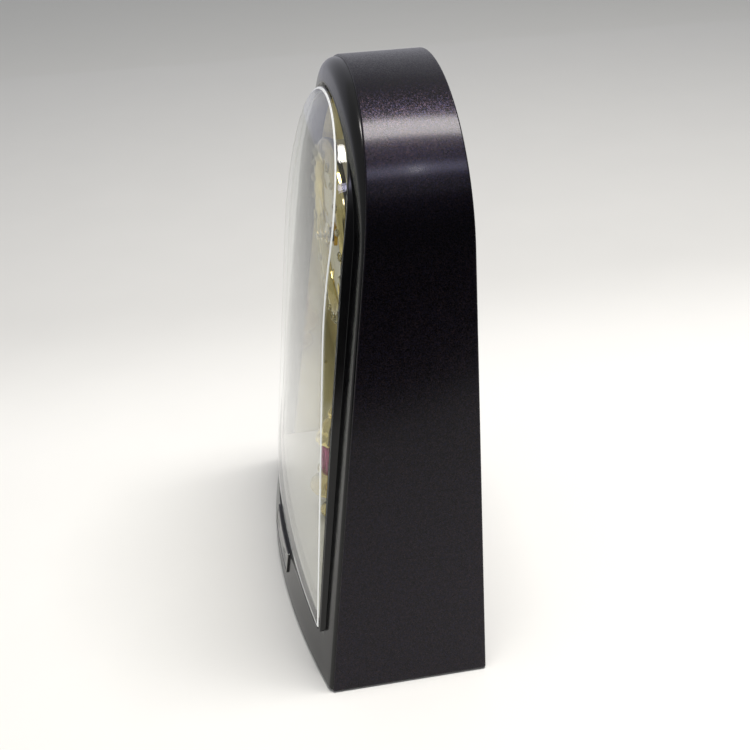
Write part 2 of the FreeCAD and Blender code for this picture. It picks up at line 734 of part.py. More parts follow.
def third_wheel():
    wheel = gear_y(60, 0.36, THIRD_X, THIRD_Z, 39.4, 40.4,
                   facing(60, math.radians(THIRD_DIR + 180), False))
    pinion = gear_y(8, 0.34, THIRD_X, THIRD_Z, 40.4, 43.0,
                    facing(8, math.radians(THIRD_DIR + 180), False))
    arbor = rod(THIRD_X, THIRD_Z, PIVOT_R, *ARBOR_D)
    return join(arbor, wheel, pinion)


def seconds_wheel():
    wheel = gear_y(50, 0.42, 0, DIAL_Z, 37.3, 38.3, facing(50, math.radians(INTER_DIR), True))
    pinion = gear_y(8, 0.36, 0, DIAL_Z, 38.3, 40.6, facing(8, math.radians(THIRD_DIR), True))
    arbor = rod(0, DIAL_Z, SECOND_R, ARBOR_D[0], 63.0)
    return join(arbor, wheel, pinion)


def intermediate_wheel():
    wheel = gear_y(60, 0.3, INTER_X, INTER_Z, 35.2, 36.2, facing(60, math.radians(ROTOR_DIR), True))
    pinion = gear_y(10, 0.42, INTER_X, INTER_Z, 36.2, 38.6,
                    facing(10, math.radians(INTER_DIR + 180), False))
    arbor = rod(INTER_X, INTER_Z, PIVOT_R, *ARBOR_D)
    return join(arbor, wheel, pinion)


ROTOR_D = (37.4, 40.2)


def step_rotor():
    pinion = gear_y(10, 0.3, ROTOR_X, ROTOR_Z, 34.8, 37.4,
                    facing(10, math.radians(ROTOR_DIR + 180), False))
    magnet = rod(ROTOR_X, ROTOR_Z, 2.7, *ROTOR_D)
    arbor = rod(ROTOR_X, ROTOR_Z, PIVOT_R, *ARBOR_D)
    return join(arbor, magnet, pinion)


def step_stator():
    """Laminated pole piece round the rotor, with two arms up to the coil core."""
    plate = box(4.8, 24.0, 38.4, 39.2, DIAL_Z + 14.6, DIAL_Z + 20.2)
    arms = [box(x, x + 2.4, 38.4, 39.2, DIAL_Z + 20.0, DIAL_Z + 24.6) for x in (4.8, 21.6)]
    core = box(4.8, 24.0, 38.4, 39.2, DIAL_Z + 22.8, DIAL_Z + 24.6)
    yoke = join(plate, *arms, core)
    return yoke.cut(rod(ROTOR_X, ROTOR_Z, 3.2, 35, 42))


def step_coil():
    z = DIAL_Z + 23.7
    body = rod_x(8.2, 20.8, 38.8, z, 2.6)
    ends = [rod_x(x, x + 0.8, 38.8, z, 2.75) for x in (7.6, 20.6)]
    return join(body, *ends).cut(box(4.0, 25.0, 38.35, 39.25, DIAL_Z + 22.75, DIAL_Z + 24.65))


def movement_board():
    """Small circuit board with the chip under its seal and the crystal's can."""
    board = box(-25.5, -3.6, 44.0, 45.0, DIAL_Z + 14.0, DIAL_Z + 26.0)
    seal = rod(-10.0, DIAL_Z + 20.0, 3.2, 43.2, 44.0)
    can = rod_x(-24.0, -17.0, 42.9, DIAL_Z + 22.0, 1.1)
    return join(board, seal, can)


def time_set_knob():
    """Knurled disc, long shaft and the pinion that turns the minute wheel."""
    disc = rod(KNOB_X, KNOB_Z, 9.6, 0.6, 5.8)
    for n in range(30):
        x, z = polar(KNOB_X, KNOB_Z, 10.0, 12.0 * n)
        disc = disc.cut(rod(x, z, 0.7, 0.0, 7.0))
    shaft = rod(KNOB_X, KNOB_Z, 1.5, 5.8, 46.6)
    pinion = gear_y(12, 0.5, KNOB_X, KNOB_Z, 43.6, 45.4,
                    facing(12, math.radians(KNOB_DIR + 180), True))
    return join(disc, shaft, pinion)


# ---------------------------------------------------------------- rotating ornament
PILLARS = ((-26.0, 44.0), (-26.0, 70.0), (49.0, 44.0), (49.0, 70.0))
IDLER_X, MOTOR_X = 21.0, 36.0
BASE_Z = (8.0, 9.5)


def drive_base():
    plate = box(-31, 53, 39, 80, *BASE_Z)
    for x, depth in PILLARS:
        plate = plate.fuse(post(x, depth, 3.0, BASE_Z[1], FLOOR_Z - 0.05))
    for x, depth in PILLARS:
        plate = plate.cut(post(x, depth, 1.2, 7.0, FLOOR_Z))
    for x in (0.0, IDLER_X):
        boss = post(x, SPIN_DEPTH, 3.5, BASE_Z[1], 13.0)
        plate = plate.fuse(boss)
    plate = plate.cut(post(0, SPIN_DEPTH, 1.5 + RUNNING, 9.4, 14))
    plate = plate.cut(post(IDLER_X, SPIN_DEPTH, 1.0 + RUNNING, 9.4, 14))
    return plate.removeSplitter()


def drive_bridge():
    """Upper bearing plate, held by the four pillars."""
    plate = box(-31, 53, 39, 74, 26.2, 27.6)
    for x, depth in PILLARS:
        plate = plate.cut(post(x, depth, 3.05, 20, 30))
    plate = plate.cut(post(0, SPIN_DEPTH, 1.5 + RUNNING, 20, 30))
    return plate.cut(post(IDLER_X, SPIN_DEPTH, 1.0 + RUNNING, 20, 30))


def drive_screws():
    solids = []
    for x, depth in PILLARS:
        head = post(x, depth, 2.6, BASE_Z[0] - 1.6, BASE_Z[0] - 0.02)
        solids.append(head.fuse(post(x, depth, 1.15, BASE_Z[0] - 0.1, BASE_Z[0] + 10.0)))
    return solids


def spindle():
    return post(0, SPIN_DEPTH, 1.5, 9.6, 44.0)


def turntable_gear():
    wheel = gear_z(60, 0.6, 0, SPIN_DEPTH, 18.5, 20.5, facing(60, 0.0, True))
    hub = post(0, SPIN_DEPTH, 4.0, 16.0, 25.6)
    return join(hub, wheel).cut(post(0, SPIN_DEPTH, 1.5, 10, 30))


def idler_gear():
    pinion = gear_z(10, 0.6, IDLER_X, SPIN_DEPTH, 17.6, 22.6, facing(10, math.pi, False))
    wheel = gear_z(50, 0.5, IDLER_X, SPIN_DEPTH, 22.6, 24.4, facing(50, 0.0, True))
    arbor = post(IDLER_X, SPIN_DEPTH, 1.0, 9.8, 27.4)
    return join(arbor, pinion, wheel)


def motor_pinion():
    pinion = gear_z(10, 0.5, MOTOR_X, SPIN_DEPTH, 22.2, 25.0, facing(10, math.pi, False))
    return pinion.cut(post(MOTOR_X, SPIN_DEPTH, 0.75, 20, 30))


def motor_shaft():
    return post(MOTOR_X, SPIN_DEPTH, 0.75, 10.8, 25.3)


def drive_motor():
    can = post(MOTOR_X, SPIN_DEPTH, 9.0, 9.6, 21.3)
    can = can.fuse(post(MOTOR_X, SPIN_DEPTH, 3.0, 21.3, 21.8))
    return can.cut(post(MOTOR_X, SPIN_DEPTH, 0.75 + RUNNING, 10.5, 30))


def spindle_bush():
    """Flanged bush that guides the spindle through the chamber floor."""
    bush = post(0, SPIN_DEPTH, 4.0, FLOOR_Z - 1.6, FLOOR_TOP)
    return bush.cut(post(0, SPIN_DEPTH, 1.5 + RUNNING, 20, 40))


ORNAMENT_Z = 33.0
CUP_TOP = ORNAMENT_Z + 31.6


def ornament_base():
    """Gold turned foot: a disc, a slim baluster, a dish and a cup that holds the stones."""
    profile = ((1.5, 0.0), (10.0, 0.0), (11.0, 0.8), (11.0, 1.8), (7.5, 3.2), (3.6, 5.0),
               (2.8, 8.0), (4.0, 11.5), (3.0, 15.0), (4.5, 17.4), (15.0, 18.4), (16.0, 19.2),
               (16.0, 20.4), (14.0, 21.6), (8.0, 23.2), (5.0, 25.0), (5.0, 26.6),
               (9.5, 28.6), (11.0, 30.6), (11.0, 31.6), (1.5, 31.6))
    return turned([(r, ORNAMENT_Z + z) for r, z in profile], 0, SPIN_DEPTH)


STONE_LOW, STONE_TOP = CUP_TOP + 0.05, CUP_TOP + 18.4
PETALS = 8


def ornament_crystals():
    """Ring of six-sided coloured rods with pointed upper ends."""
    solids = []
    for n in range(PETALS):
        a = 2 * math.pi * n / PETALS
        x, depth = 6.6 * math.cos(a), SPIN_DEPTH + 6.6 * math.sin(a)
        low = polygon_z(6, 2.3, x, depth, STONE_LOW)
        high = polygon_z(6, 2.3, x, depth, STONE_TOP - 3.0)
        tip = polygon_z(6, 0.9, x, depth, STONE_TOP)
        solids.append(Part.makeLoft([low, high], True, True).fuse(
            Part.makeLoft([high, tip], True, True)))
    return solids


def polygon_z(sides, r, x, depth, z):
    """Regular polygon wire that lies level."""
    points = []
    for n in range(sides):
        a = 2 * math.pi * n / sides
        points.append(V(x + r * math.cos(a), y_at(depth) + r * math.sin(a), z))
    return Part.makePolygon(points + points[:1])


def ornament_stem():
    """Core rod between the foot and the crown, inside the ring of stones."""
    return post(0, SPIN_DEPTH, 2.0, CUP_TOP, CUP_TOP + 19.4)


def ornament_crown():
    """Gold crown: a flared collar, a tall dome and a finial."""
    profile = ((2.0, 18.45), (10.0, 18.45), (11.2, 19.6), (10.4, 22.0), (8.6, 24.4),
               (7.6, 28.0), (5.4, 31.4), (2.2, 33.6), (2.2, 34.8), (3.0, 36.4),
               (2.2, 38.4), (0.0, 40.4), (0.0, 19.4), (2.0, 19.4))
    return turned([(r, CUP_TOP + z) for r, z in profile], 0, SPIN_DEPTH)


# ---------------------------------------------------------------- internal leads
LEAD_R = 0.7


def lead(points):
    """Insulated wire: straight runs joined by tangent arcs."""
    edges = []
    start = points[0]
    for before, corner, after in zip(points, points[1:], points[2:]):
        a, b = corner - before, after - corner
        turn = a.getAngle(b)
        back = 0.45 * min(a.Length, b.Length)
        ta = corner - V(a).normalize() * back
        tb = corner + V(b).normalize() * back
        radius = back / math.tan(turn / 2)
        inward = (V(b).normalize() - V(a).normalize()).normalize()
        centre = corner + inward * (back / math.sin(turn / 2))
        middle = centre - inward * radius
        edges.append(Part.LineSegment(start, ta).toShape())
        edges.append(Part.Arc(ta, middle, tb).toShape())
        start = tb
    edges.append(Part.LineSegment(start, points[-1]).toShape())
    path = Part.Wire(edges)
    ring = Part.Wire([Part.Circle(points[0], points[1] - points[0], LEAD_R).toShape()])
    return path.makePipeShell([ring], True, True)


def movement_leads():
    """Pair of leads from the battery tray up to the movement."""
    solids = []
    for x in (-24.0, -20.0):
        route = [V(x, y_at(21.6), 70.0), V(x, y_at(27.0), 74.0), V(x, y_at(28.0), 96.0),
                 V(x + 2, y_at(27.0), 150.0), V(x + 3, y_at(31.6), DIAL_Z - 26.0)]
        solids.append(lead(route))
    return solids


def motor_leads():
    """Pair of leads from the control board down to the drive motor."""
    solids = []
    for n in range(2):
        x = 72.0 + 3.0 * n
        route = [V(x, y_at(16.8), 52.5), V(x, y_at(24.0), 49.0), V(x - 2, y_at(29.0), 32.0),
                 V(x - 10, y_at(31.5), 16.0), V(x - 17, y_at(33.0), 13.0 - n)]
        solids.append(lead(route))
    return solids


def save(name, shape):
    """Write one sub-part; a list of solids is kept as a group."""
    if isinstance(shape, list):
        shape = Part.makeCompound(shape)
    shape.exportStep(os.path.join(OUT, name + ".step"))


PARTS = {
    "case_shell": case_shell,
    "front_frame": front_frame,
    "front_cover": front_cover,
    "gold_liner": gold_liner,
    "back_panel": back_panel,
    "floor_plate": floor_plate,
    "badge_plate": badge_plate,
    "foot_pads": foot_pads,
    "frame_screws": frame_screws,
    "rear_cover": rear_cover,
    "rear_screws": rear_screws,
    "battery_holder": battery_holder,
    "batteries": batteries,
    "battery_flat_contacts": battery_flat_contacts,
    "battery_spring_contacts": battery_spring_contacts,
    "battery_door": battery_door,
    "rotation_switch_knob": rotation_switch_knob,
    "rotation_switch_body": rotation_switch_body,
    "control_board": control_board,
    "board_components": board_components,
    "movement_leads": movement_leads,
    "motor_leads": motor_leads,
    "dial_drum": dial_drum,
    "dial_plate": dial_plate,
    "dial_ring": dial_ring,
    "hour_markers": hour_markers,
    "dial_crystals": dial_crystals,
    "dial_nut": dial_nut,
    "hour_hand": hour_hand,
    "minute_hand": minute_hand,
    "second_hand": second_hand,
    "movement_front_plate": movement_front_plate,
    "movement_rear_case": movement_rear_case,
    "movement_board": movement_board,
    "centre_wheel": centre_wheel,
    "minute_pipe": minute_pipe,
    "minute_wheel": minute_wheel,
    "hour_wheel": hour_wheel,
    "third_wheel": third_wheel,
    "seconds_wheel": seconds_wheel,
    "intermediate_wheel": intermediate_wheel,
    "step_rotor": step_rotor,
    "step_stator": step_stator,
    "step_coil": step_coil,
    "time_set_knob": time_set_knob,
    "drive_base": drive_base,
    "drive_bridge": drive_bridge,
    "drive_screws": drive_screws,
    "drive_motor": drive_motor,
    "motor_shaft": motor_shaft,
    "motor_pinion": motor_pinion,
    "idler_gear": idler_gear,
    "turntable_gear": turntable_gear,
    "spindle": spindle,
    "spindle_bush": spindle_bush,
    "ornament_base": ornament_base,
    "ornament_stem": ornament_stem,
    "ornament_crystals": ornament_crystals,
    "ornament_crown": ornament_crown,
}

os.makedirs(OUT, exist_ok=True)
for part_name, maker in PARTS.items():
    save(part_name, maker())
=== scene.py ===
"""Looks of the arch-topped mantel clock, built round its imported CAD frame.

Lengths in the shape functions are millimetres; meshes are made in metres. "Depth" is measured
forwards from the open back of the case and "inset" inwards from the case's outer outline.
"""
import json
import math

import bpy
import numpy as np
from mathutils import Matrix, Vector


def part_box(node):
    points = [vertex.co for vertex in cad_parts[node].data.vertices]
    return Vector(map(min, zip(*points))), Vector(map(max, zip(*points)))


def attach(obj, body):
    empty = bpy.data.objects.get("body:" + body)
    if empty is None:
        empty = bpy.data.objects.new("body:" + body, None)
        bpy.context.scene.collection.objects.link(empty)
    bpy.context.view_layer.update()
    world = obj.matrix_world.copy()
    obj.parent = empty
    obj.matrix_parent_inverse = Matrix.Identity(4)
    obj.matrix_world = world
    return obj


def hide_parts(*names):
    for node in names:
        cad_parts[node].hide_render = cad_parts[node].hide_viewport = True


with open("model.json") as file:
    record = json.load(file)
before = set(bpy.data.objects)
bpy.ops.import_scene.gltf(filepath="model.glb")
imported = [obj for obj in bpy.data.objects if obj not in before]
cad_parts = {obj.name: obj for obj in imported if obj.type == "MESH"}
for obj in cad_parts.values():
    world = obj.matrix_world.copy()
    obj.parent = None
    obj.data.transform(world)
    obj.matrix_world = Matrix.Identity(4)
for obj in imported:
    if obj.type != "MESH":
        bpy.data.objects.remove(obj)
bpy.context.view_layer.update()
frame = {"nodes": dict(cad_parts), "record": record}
NODES = frame["nodes"]

bl_info = {
    "name": "Mantel Clock Looks",
    "version": (1, 0, 0),
    "blender": (4, 5, 0),
    "location": "3D View > Sidebar > Clock",
    "description": "Surfaces, finishes and stage of an arch-topped mantel clock",
    "category": "Object",
}

# ---------------------------------------------------------------- sizes shared with the CAD
MM = 0.001
ARCH_A, ARCH_B, HEIGHT = 89.0, 76.4, 300.0      # half-width and rise of the arch, and its top
ARCH_Z = HEIGHT - ARCH_B
FOOT = 0.4                                      # the feet stand this far below the case
FLARE = 0.1134                                  # widening of the sides, per mm downwards
CASE_WALL = 3.0
CASE_APEX, CASE_LEAN = 82.8, 0.1325             # depth at the table, and lean back per mm
Y_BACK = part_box("case_shell")[1].y / MM
FACE_APEX, FACE_LEAN, FACE_BOW = 98.0, 0.160, 0.001057
FACE_INSET, FACE_BOTTOM, FACE_WALL = 1.1, FOOT + 0.6, 2.5
RIM_INSET, RIM_BOTTOM = 12.6, 27.2
RIM_PROUD, RIM_RISE = 2.4, 0.0095               # at the table, and how much more per mm upwards
RIM_APEX, RIM_LEAN, RIM_GAP = 105.8, 0.20, 0.15
COVER_APEX, COVER_LEAN, COVER_BOW = 95.93, 0.105, 0.000641
COVER_ROLL, COVER_BREAK = 0.001204, 183.8       # roll back above this height
COVER_INSET, COVER_BOTTOM, COVER_WALL = 15.0, 28.7, 2.0
FLANGE_WIDE, FLANGE_FRONT, FLANGE_BACK = 2.6, -1.6, -3.0    # from the case's front plane
OPENING_INSET, OPENING_BOTTOM = 14.85, 28.55
FLOOR_Z, PANEL_FRONT = 30.8, 36.0
DIAL_Z, RING_FACE, STONE_CIRCLE = 210.0, 57.0, 45.4
NEEDLE_TAIL, NEEDLE_REACH = -12.0, 34.0
SPIN_DEPTH, ORNAMENT_Z = 60.0, 33.0
CUP_TOP = ORNAMENT_Z + 31.6


def case_depth(_, z):
    """Front of the case sides: a plane that leans back, depth = 82.8 - 0.1325 z."""
    return CASE_APEX - CASE_LEAN * z


def face_depth(x, z):
    """Front frame: leans back and bows in plan, depth = 98 - 0.160 z - 0.001057 x^2."""
    return FACE_APEX - FACE_LEAN * z - FACE_BOW * x ** 2


def rim_depth(x, z):
    """Top of the rim round the cover: face + 2.4 + 0.0095 z, and never past the plane
    depth = 105.8 - 0.20 z nor within 0.15 of the cover's front."""
    proud = np.minimum(face_depth(x, z) + RIM_PROUD + RIM_RISE * z, RIM_APEX - RIM_LEAN * z)
    return np.minimum(proud, cover_depth(x, z) - RIM_GAP)


def cover_depth(x, z):
    """Clear cover: depth = 95.93 - 0.105 z - 0.000641 x^2, and a roll back near the top."""
    roll = np.maximum(0.0, z - COVER_BREAK)
    return COVER_APEX - COVER_LEAN * z - COVER_BOW * x ** 2 - COVER_ROLL * roll ** 2


# ---------------------------------------------------------------- mesh helpers
def outline(inset, bottom, corner=1.2, steps=(14, 9, 46, 58)):
    """Closed case outline set in by inset, as (x, z) rows, anticlockwise from bottom centre.

    Right half: flat bottom, an arc of radius corner whose normal turns from straight down to
    the side's, the flared side x = x0 + FLARE (z0 - z), and the ellipse
    (a cos t, ARCH_Z + b sin t). The left half mirrors it.
    """
    a, b = ARCH_A - inset, ARCH_B - inset
    turn = math.atan(FLARE * b / a)
    x0, z0 = a * math.cos(turn), ARCH_Z + b * math.sin(turn)
    wide = x0 + FLARE * (z0 - bottom)
    tilt = math.atan(FLARE)
    start = wide - corner * math.tan((math.pi / 2 + tilt) / 2)
    flat = np.linspace(0.0, start, steps[0], endpoint=False)
    swing = np.linspace(-math.pi / 2, tilt, steps[1])
    arc_x = start + corner * np.cos(swing)
    arc_z = bottom + corner + corner * np.sin(swing)
    share = np.linspace(0.0, 1.0, steps[2])[1:-1]
    t = np.linspace(turn, math.pi / 2, steps[3])
    x = np.concatenate([flat, arc_x, arc_x[-1] + share * (x0 - arc_x[-1]), a * np.cos(t)])
    z = np.concatenate([np.full(len(flat), bottom), arc_z,
                        arc_z[-1] + share * (z0 - arc_z[-1]), ARCH_Z + b * np.sin(t)])
    x[-1] = 0.0
    return np.stack([np.concatenate([x, -x[-2:0:-1]]), np.concatenate([z, z[-2:0:-1]])], axis=1)


def ring(flat, depth):
    """(x, z) rows at a depth (a number or one per row) as points in the frame, in mm."""
    return np.stack([flat[:, 0], Y_BACK - depth + 0.0 * flat[:, 0], flat[:, 1]], axis=1)


def ring_on(flat, surface, shift=0.0):
    """(x, z) rows laid on a surface depth(x, z), moved forwards by shift."""
    return ring(flat, surface(flat[:, 0], flat[:, 1]) + shift)


def strip_faces(rows, columns, loop):
    """Quads between neighbouring rows of a grid whose columns close; loop closes the rows."""
    r = np.arange(rows if loop else rows - 1)[:, None]
    c = np.arange(columns)[None, :]
    here, there = r * columns, ((r + 1) % rows) * columns
    c1 = (c + 1) % columns
    return np.stack([here + c, here + c1, there + c1, there + c], axis=2).reshape(-1, 4)


def skin(rings, loop=False, poles=()):
    """Points and faces through equal rings; poles close the first and last ring with fans."""
    rows, columns = len(rings), len(rings[0])
    points = np.concatenate(rings)
    faces = strip_faces(rows, columns, loop).tolist()
    for pole, first in zip(poles, (0, (rows - 1) * columns)):
        middle = len(points)
        points = np.vstack([points, pole])
        rim = first + np.arange(columns)
        after = np.roll(rim, -1)
        fan = np.stack([np.full(columns, middle), after, rim], axis=1)
        faces += (fan if first == 0 else fan[:, ::-1]).tolist()
    return points, faces


def volume(points, faces):
    """Signed volume of a closed mesh: the sum of its face fans' determinants over six."""
    total = 0.0
    for size in (3, 4):
        part = np.array([f for f in faces if len(f) == size], int).reshape(-1, size)
        for k in range(1, size - 1):
            a, b, c = points[part[:, 0]], points[part[:, k]], points[part[:, k + 1]]
            total += float(np.einsum("ij,ij->i", a, np.cross(b, c)).sum()) / 6.0
    return total


def make_piece(name, body, material, parts, stands_for, crease=32.0):
    """One piece from closed (points, faces) parts in mm, turned outwards and put on its body."""
    points, faces, start = [], [], 0
    for part_points, part_faces in parts:
        if volume(part_points, part_faces) < 0:
            part_faces = [f[::-1] for f in part_faces]
        points.append(part_points)
        faces += [[i + start for i in f] for f in part_faces]
        start += len(part_points)
    mesh = bpy.data.meshes.new(name)
    mesh.from_pydata((np.concatenate(points) * MM).tolist(), [], faces)
    mesh.validate()
    if crease:
        mesh.shade_smooth()
        mesh.set_sharp_from_angle(angle=math.radians(crease))
    piece = bpy.data.objects.new(name, mesh)
    bpy.context.scene.collection.objects.link(piece)
    piece.data.materials.append(material)
    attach(piece, body)
    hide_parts(*stands_for)
    return piece


def softened(profile, passes=2):
    """Round a (radius, height) profile by cutting each corner at a quarter, passes times."""
    line = np.array(profile, float)
    for _ in range(passes):
        a, b = line[:-1], line[1:]
        cut = np.stack([0.75 * a + 0.25 * b, 0.25 * a + 0.75 * b], axis=1).reshape(-1, 2)
        line = np.vstack([line[:1], cut, line[-1:]])
    return line


def around(angles, profile, centre, upright):
    """Rings of a body of revolution from (radius, height) rows about an upright or a
    front-to-back axis: (r cos, r sin) across the axis, height along it."""
    rings = []
    cx, along, cz = centre
    for r, h in profile:
        r = r * np.ones_like(angles)
        if upright:
            rings.append(np.stack([cx + r * np.cos(angles), along + r * np.sin(angles),
                                   cz + h + 0 * r], axis=1))
        else:
            rings.append(np.stack([cx + r * np.cos(angles), along - h + 0 * r,
                                   cz + r * np.sin(angles)], axis=1))
    return rings


def flat_sheet(name, wide, deep, material):
    """Level rectangle round the origin for the stage, its sides in metres."""
    x, y = wide / 2, deep / 2
    mesh = bpy.data.meshes.new(name)
    mesh.from_pydata([(-x, -y, 0), (x, -y, 0), (x, y, 0), (-x, y, 0)], [], [(0, 1, 2, 3)])
    mesh.materials.append(material)
    sheet = bpy.data.objects.new(name, mesh)
    bpy.context.scene.collection.objects.link(sheet)
    return sheet


# ---------------------------------------------------------------- material helpers
def linear(text):
    """sRGB hex colour to a linear RGBA tuple."""
    parts = [int(text[i:i + 2], 16) / 255.0 for i in (1, 3, 5)]
    toned = [c / 12.92 if c <= 0.04045 else ((c + 0.055) / 1.055) ** 2.4 for c in parts]
    return (*toned, 1.0)


def add_node(tree, kind, settings=None, links=None):
    """Add one node, set its properties and sockets, and join its inputs to sources."""
    node = tree.nodes.new(kind)
    for key, value in (settings or {}).items():
        if isinstance(key, int) or key in node.inputs:
            node.inputs[key].default_value = value
        else:
            setattr(node, key, value)
    for key, source in (links or {}).items():
        tree.links.new(source, node.inputs[key])
    return node


MIX_A, MIX_B, MIX_COLOUR = 6, 7, 2      # colour sockets of a Mix node set to RGBA


def blank_material(name):
    """A new node material with only an output; gives the material, its tree and output."""
    material = bpy.data.materials.new(name)
    material.use_nodes = True
    tree = material.node_tree
    tree.nodes.clear()
    return material, tree, add_node(tree, "ShaderNodeOutputMaterial")


def pattern_scale(size_mm):
    """Texture scale whose features are about size_mm across on Object coordinates."""
    return 1.0 / (size_mm * MM)


def finish(name, shade, spread, rough, grain, bump, shader=None, stretch=(1.0, 1.0, 1.0)):
    """A solid finish: colour mottled between two shades and roughness varied by noise of the
    given grain (mm), with a bump of the given height (mm) from the same noise.

    shade is a hex colour, spread how far it varies, rough (low, high); stretch draws the grain
    out along an axis, as brushing and turning do.
    """
    material, tree, output = blank_material(name)
    coords = add_node(tree, "ShaderNodeTexCoord")
    mapped = add_node(tree, "ShaderNodeMapping", {"Scale": stretch},
                      {"Vector": coords.outputs["Object"]})
    fine = add_node(tree, "ShaderNodeTexNoise", {"Scale": pattern_scale(grain), "Detail": 3.0},
                    {"Vector": mapped.outputs["Vector"]})
    cloud = add_node(tree, "ShaderNodeTexNoise", {"Scale": pattern_scale(grain * 25.0)},
                     {"Vector": coords.outputs["Object"]})
    base = linear(shade)
    deep = tuple(c * (1.0 - spread) for c in base[:3]) + (1.0,)
    pale = tuple(min(1.0, c * (1.0 + spread)) for c in base[:3]) + (1.0,)
    both = add_node(tree, "ShaderNodeMath", {"operation": "ADD"},
                    {0: fine.outputs["Fac"], 1: cloud.outputs["Fac"]})
    share = add_node(tree, "ShaderNodeMapRange", {"From Min": 0.7, "From Max": 1.3},
                     {"Value": both.outputs["Value"]})
    colour = add_node(tree, "ShaderNodeMix", {"data_type": "RGBA", MIX_A: deep, MIX_B: pale},
                      {0: share.outputs["Result"]})
    gloss = add_node(tree, "ShaderNodeMapRange",
                     {"From Min": 0.3, "From Max": 0.7, "To Min": rough[0], "To Max": rough[1]},
                     {"Value": fine.outputs["Fac"]})
    relief = add_node(tree, "ShaderNodeBump", {"Strength": 1.0, "Distance": bump * MM},
                      {"Height": fine.outputs["Fac"]})
    body = add_node(tree, "ShaderNodeBsdfPrincipled", shader or {},
                    {"Base Color": colour.outputs[MIX_COLOUR],
                     "Roughness": gloss.outputs["Result"], "Normal": relief.outputs["Normal"]})
    tree.links.new(body.outputs["BSDF"], output.inputs["Surface"])
    return material


METAL = {"Metallic": 1.0}


def flake_lacquer(base_shade, flake_shade, rose_shade, highlight_shade):
    """Metallic lacquer: dark base with violet aluminium flake, clear coat polished flat.

    The flake gives a broad silvery glow where a lamp is near mirror angle and almost black
    elsewhere; the clear coat adds crisp reflections. Flakes are 0.1 mm and are drawn 0.45 mm.
    """
    material, tree, output = blank_material("flake_lacquer_polished")
    coords = add_node(tree, "ShaderNodeTexCoord")
    cells = add_node(tree, "ShaderNodeTexVoronoi", {"Scale": pattern_scale(0.45)},
                     {"Vector": coords.outputs["Object"]})
    tilt = add_node(tree, "ShaderNodeVectorMath", {"operation": "SUBTRACT", 1: (0.5, 0.5, 0.5)},
                    {0: cells.outputs["Color"]})
    small = add_node(tree, "ShaderNodeVectorMath", {"operation": "SCALE", "Scale": 0.20},
                     {0: tilt.outputs["Vector"]})
    surface = add_node(tree, "ShaderNodeNewGeometry")
    leaning = add_node(tree, "ShaderNodeVectorMath", {"operation": "ADD"},
                       {0: surface.outputs["Normal"], 1: small.outputs["Vector"]})
    normal = add_node(tree, "ShaderNodeVectorMath", {"operation": "NORMALIZE"},
                      {0: leaning.outputs["Vector"]})
    pick = add_node(tree, "ShaderNodeSeparateColor", None, {"Color": cells.outputs["Color"]})
    hue = add_node(tree, "ShaderNodeMix",
                   {"data_type": "RGBA", MIX_A: linear(flake_shade), MIX_B: linear(rose_shade)},
                   {0: pick.outputs["Green"]})
    flake = add_node(tree, "ShaderNodeMix", {"data_type": "RGBA", MIX_A: linear(base_shade)},
                     {0: pick.outputs["Red"], MIX_B: hue.outputs[MIX_COLOUR]})
    # Painted highlight: pale silvery flecks on the back edge at the shoulder, 195 to 225 mm up.
    place = add_node(tree, "ShaderNodeSeparateXYZ", None, {"Vector": coords.outputs["Object"]})
    near = add_node(tree, "ShaderNodeMapRange",
                    {"From Min": (Y_BACK - 1.0) * MM, "From Max": (Y_BACK - 0.3) * MM},
                    {"Value": place.outputs["Y"]})
    glint_noise = add_node(tree, "ShaderNodeTexNoise", {"Scale": pattern_scale(2.2), "Detail": 4.0},
                     {"Vector": coords.outputs["Object"]})
    glint_spots = add_node(tree, "ShaderNodeMapRange", {"From Min": 0.66, "From Max": 0.70},
                    {"Value": glint_noise.outputs["Fac"]})
    shoulder = add_node(tree, "ShaderNodeMapRange",
                        {"From Min": 195.0 * MM, "From Max": 225.0 * MM},
                        {"Value": place.outputs["Z"]})
    glint_zone = add_node(tree, "ShaderNodeMath", {"operation": "MULTIPLY"},
                       {0: near.outputs["Result"], 1: shoulder.outputs["Result"]})
    painted_glints = add_node(tree, "ShaderNodeMath", {"operation": "MULTIPLY"},
                    {0: glint_zone.outputs["Value"], 1: glint_spots.outputs["Result"]})
    colour = add_node(tree, "ShaderNodeMix", {"data_type": "RGBA", MIX_B: linear(highlight_shade)},
                      {0: painted_glints.outputs["Value"], MIX_A: flake.outputs[MIX_COLOUR]})
    haze = add_node(tree, "ShaderNodeTexNoise", {"Scale": pattern_scale(30.0), "Detail": 4.0},
                    {"Vector": coords.outputs["Object"]})
    rough = add_node(tree, "ShaderNodeMapRange", {"To Min": 0.30, "To Max": 0.40},
                     {"Value": haze.outputs["Fac"]})
    body = add_node(tree, "ShaderNodeBsdfPrincipled",
                    {"Metallic": 1.0, "Coat Weight": 0.36, "Coat Roughness": 0.17},
                    {"Base Color": colour.outputs[MIX_COLOUR],
                     "Roughness": rough.outputs["Result"], "Normal": normal.outputs["Vector"]})
    tree.links.new(body.outputs["BSDF"], output.inputs["Surface"])
    return material


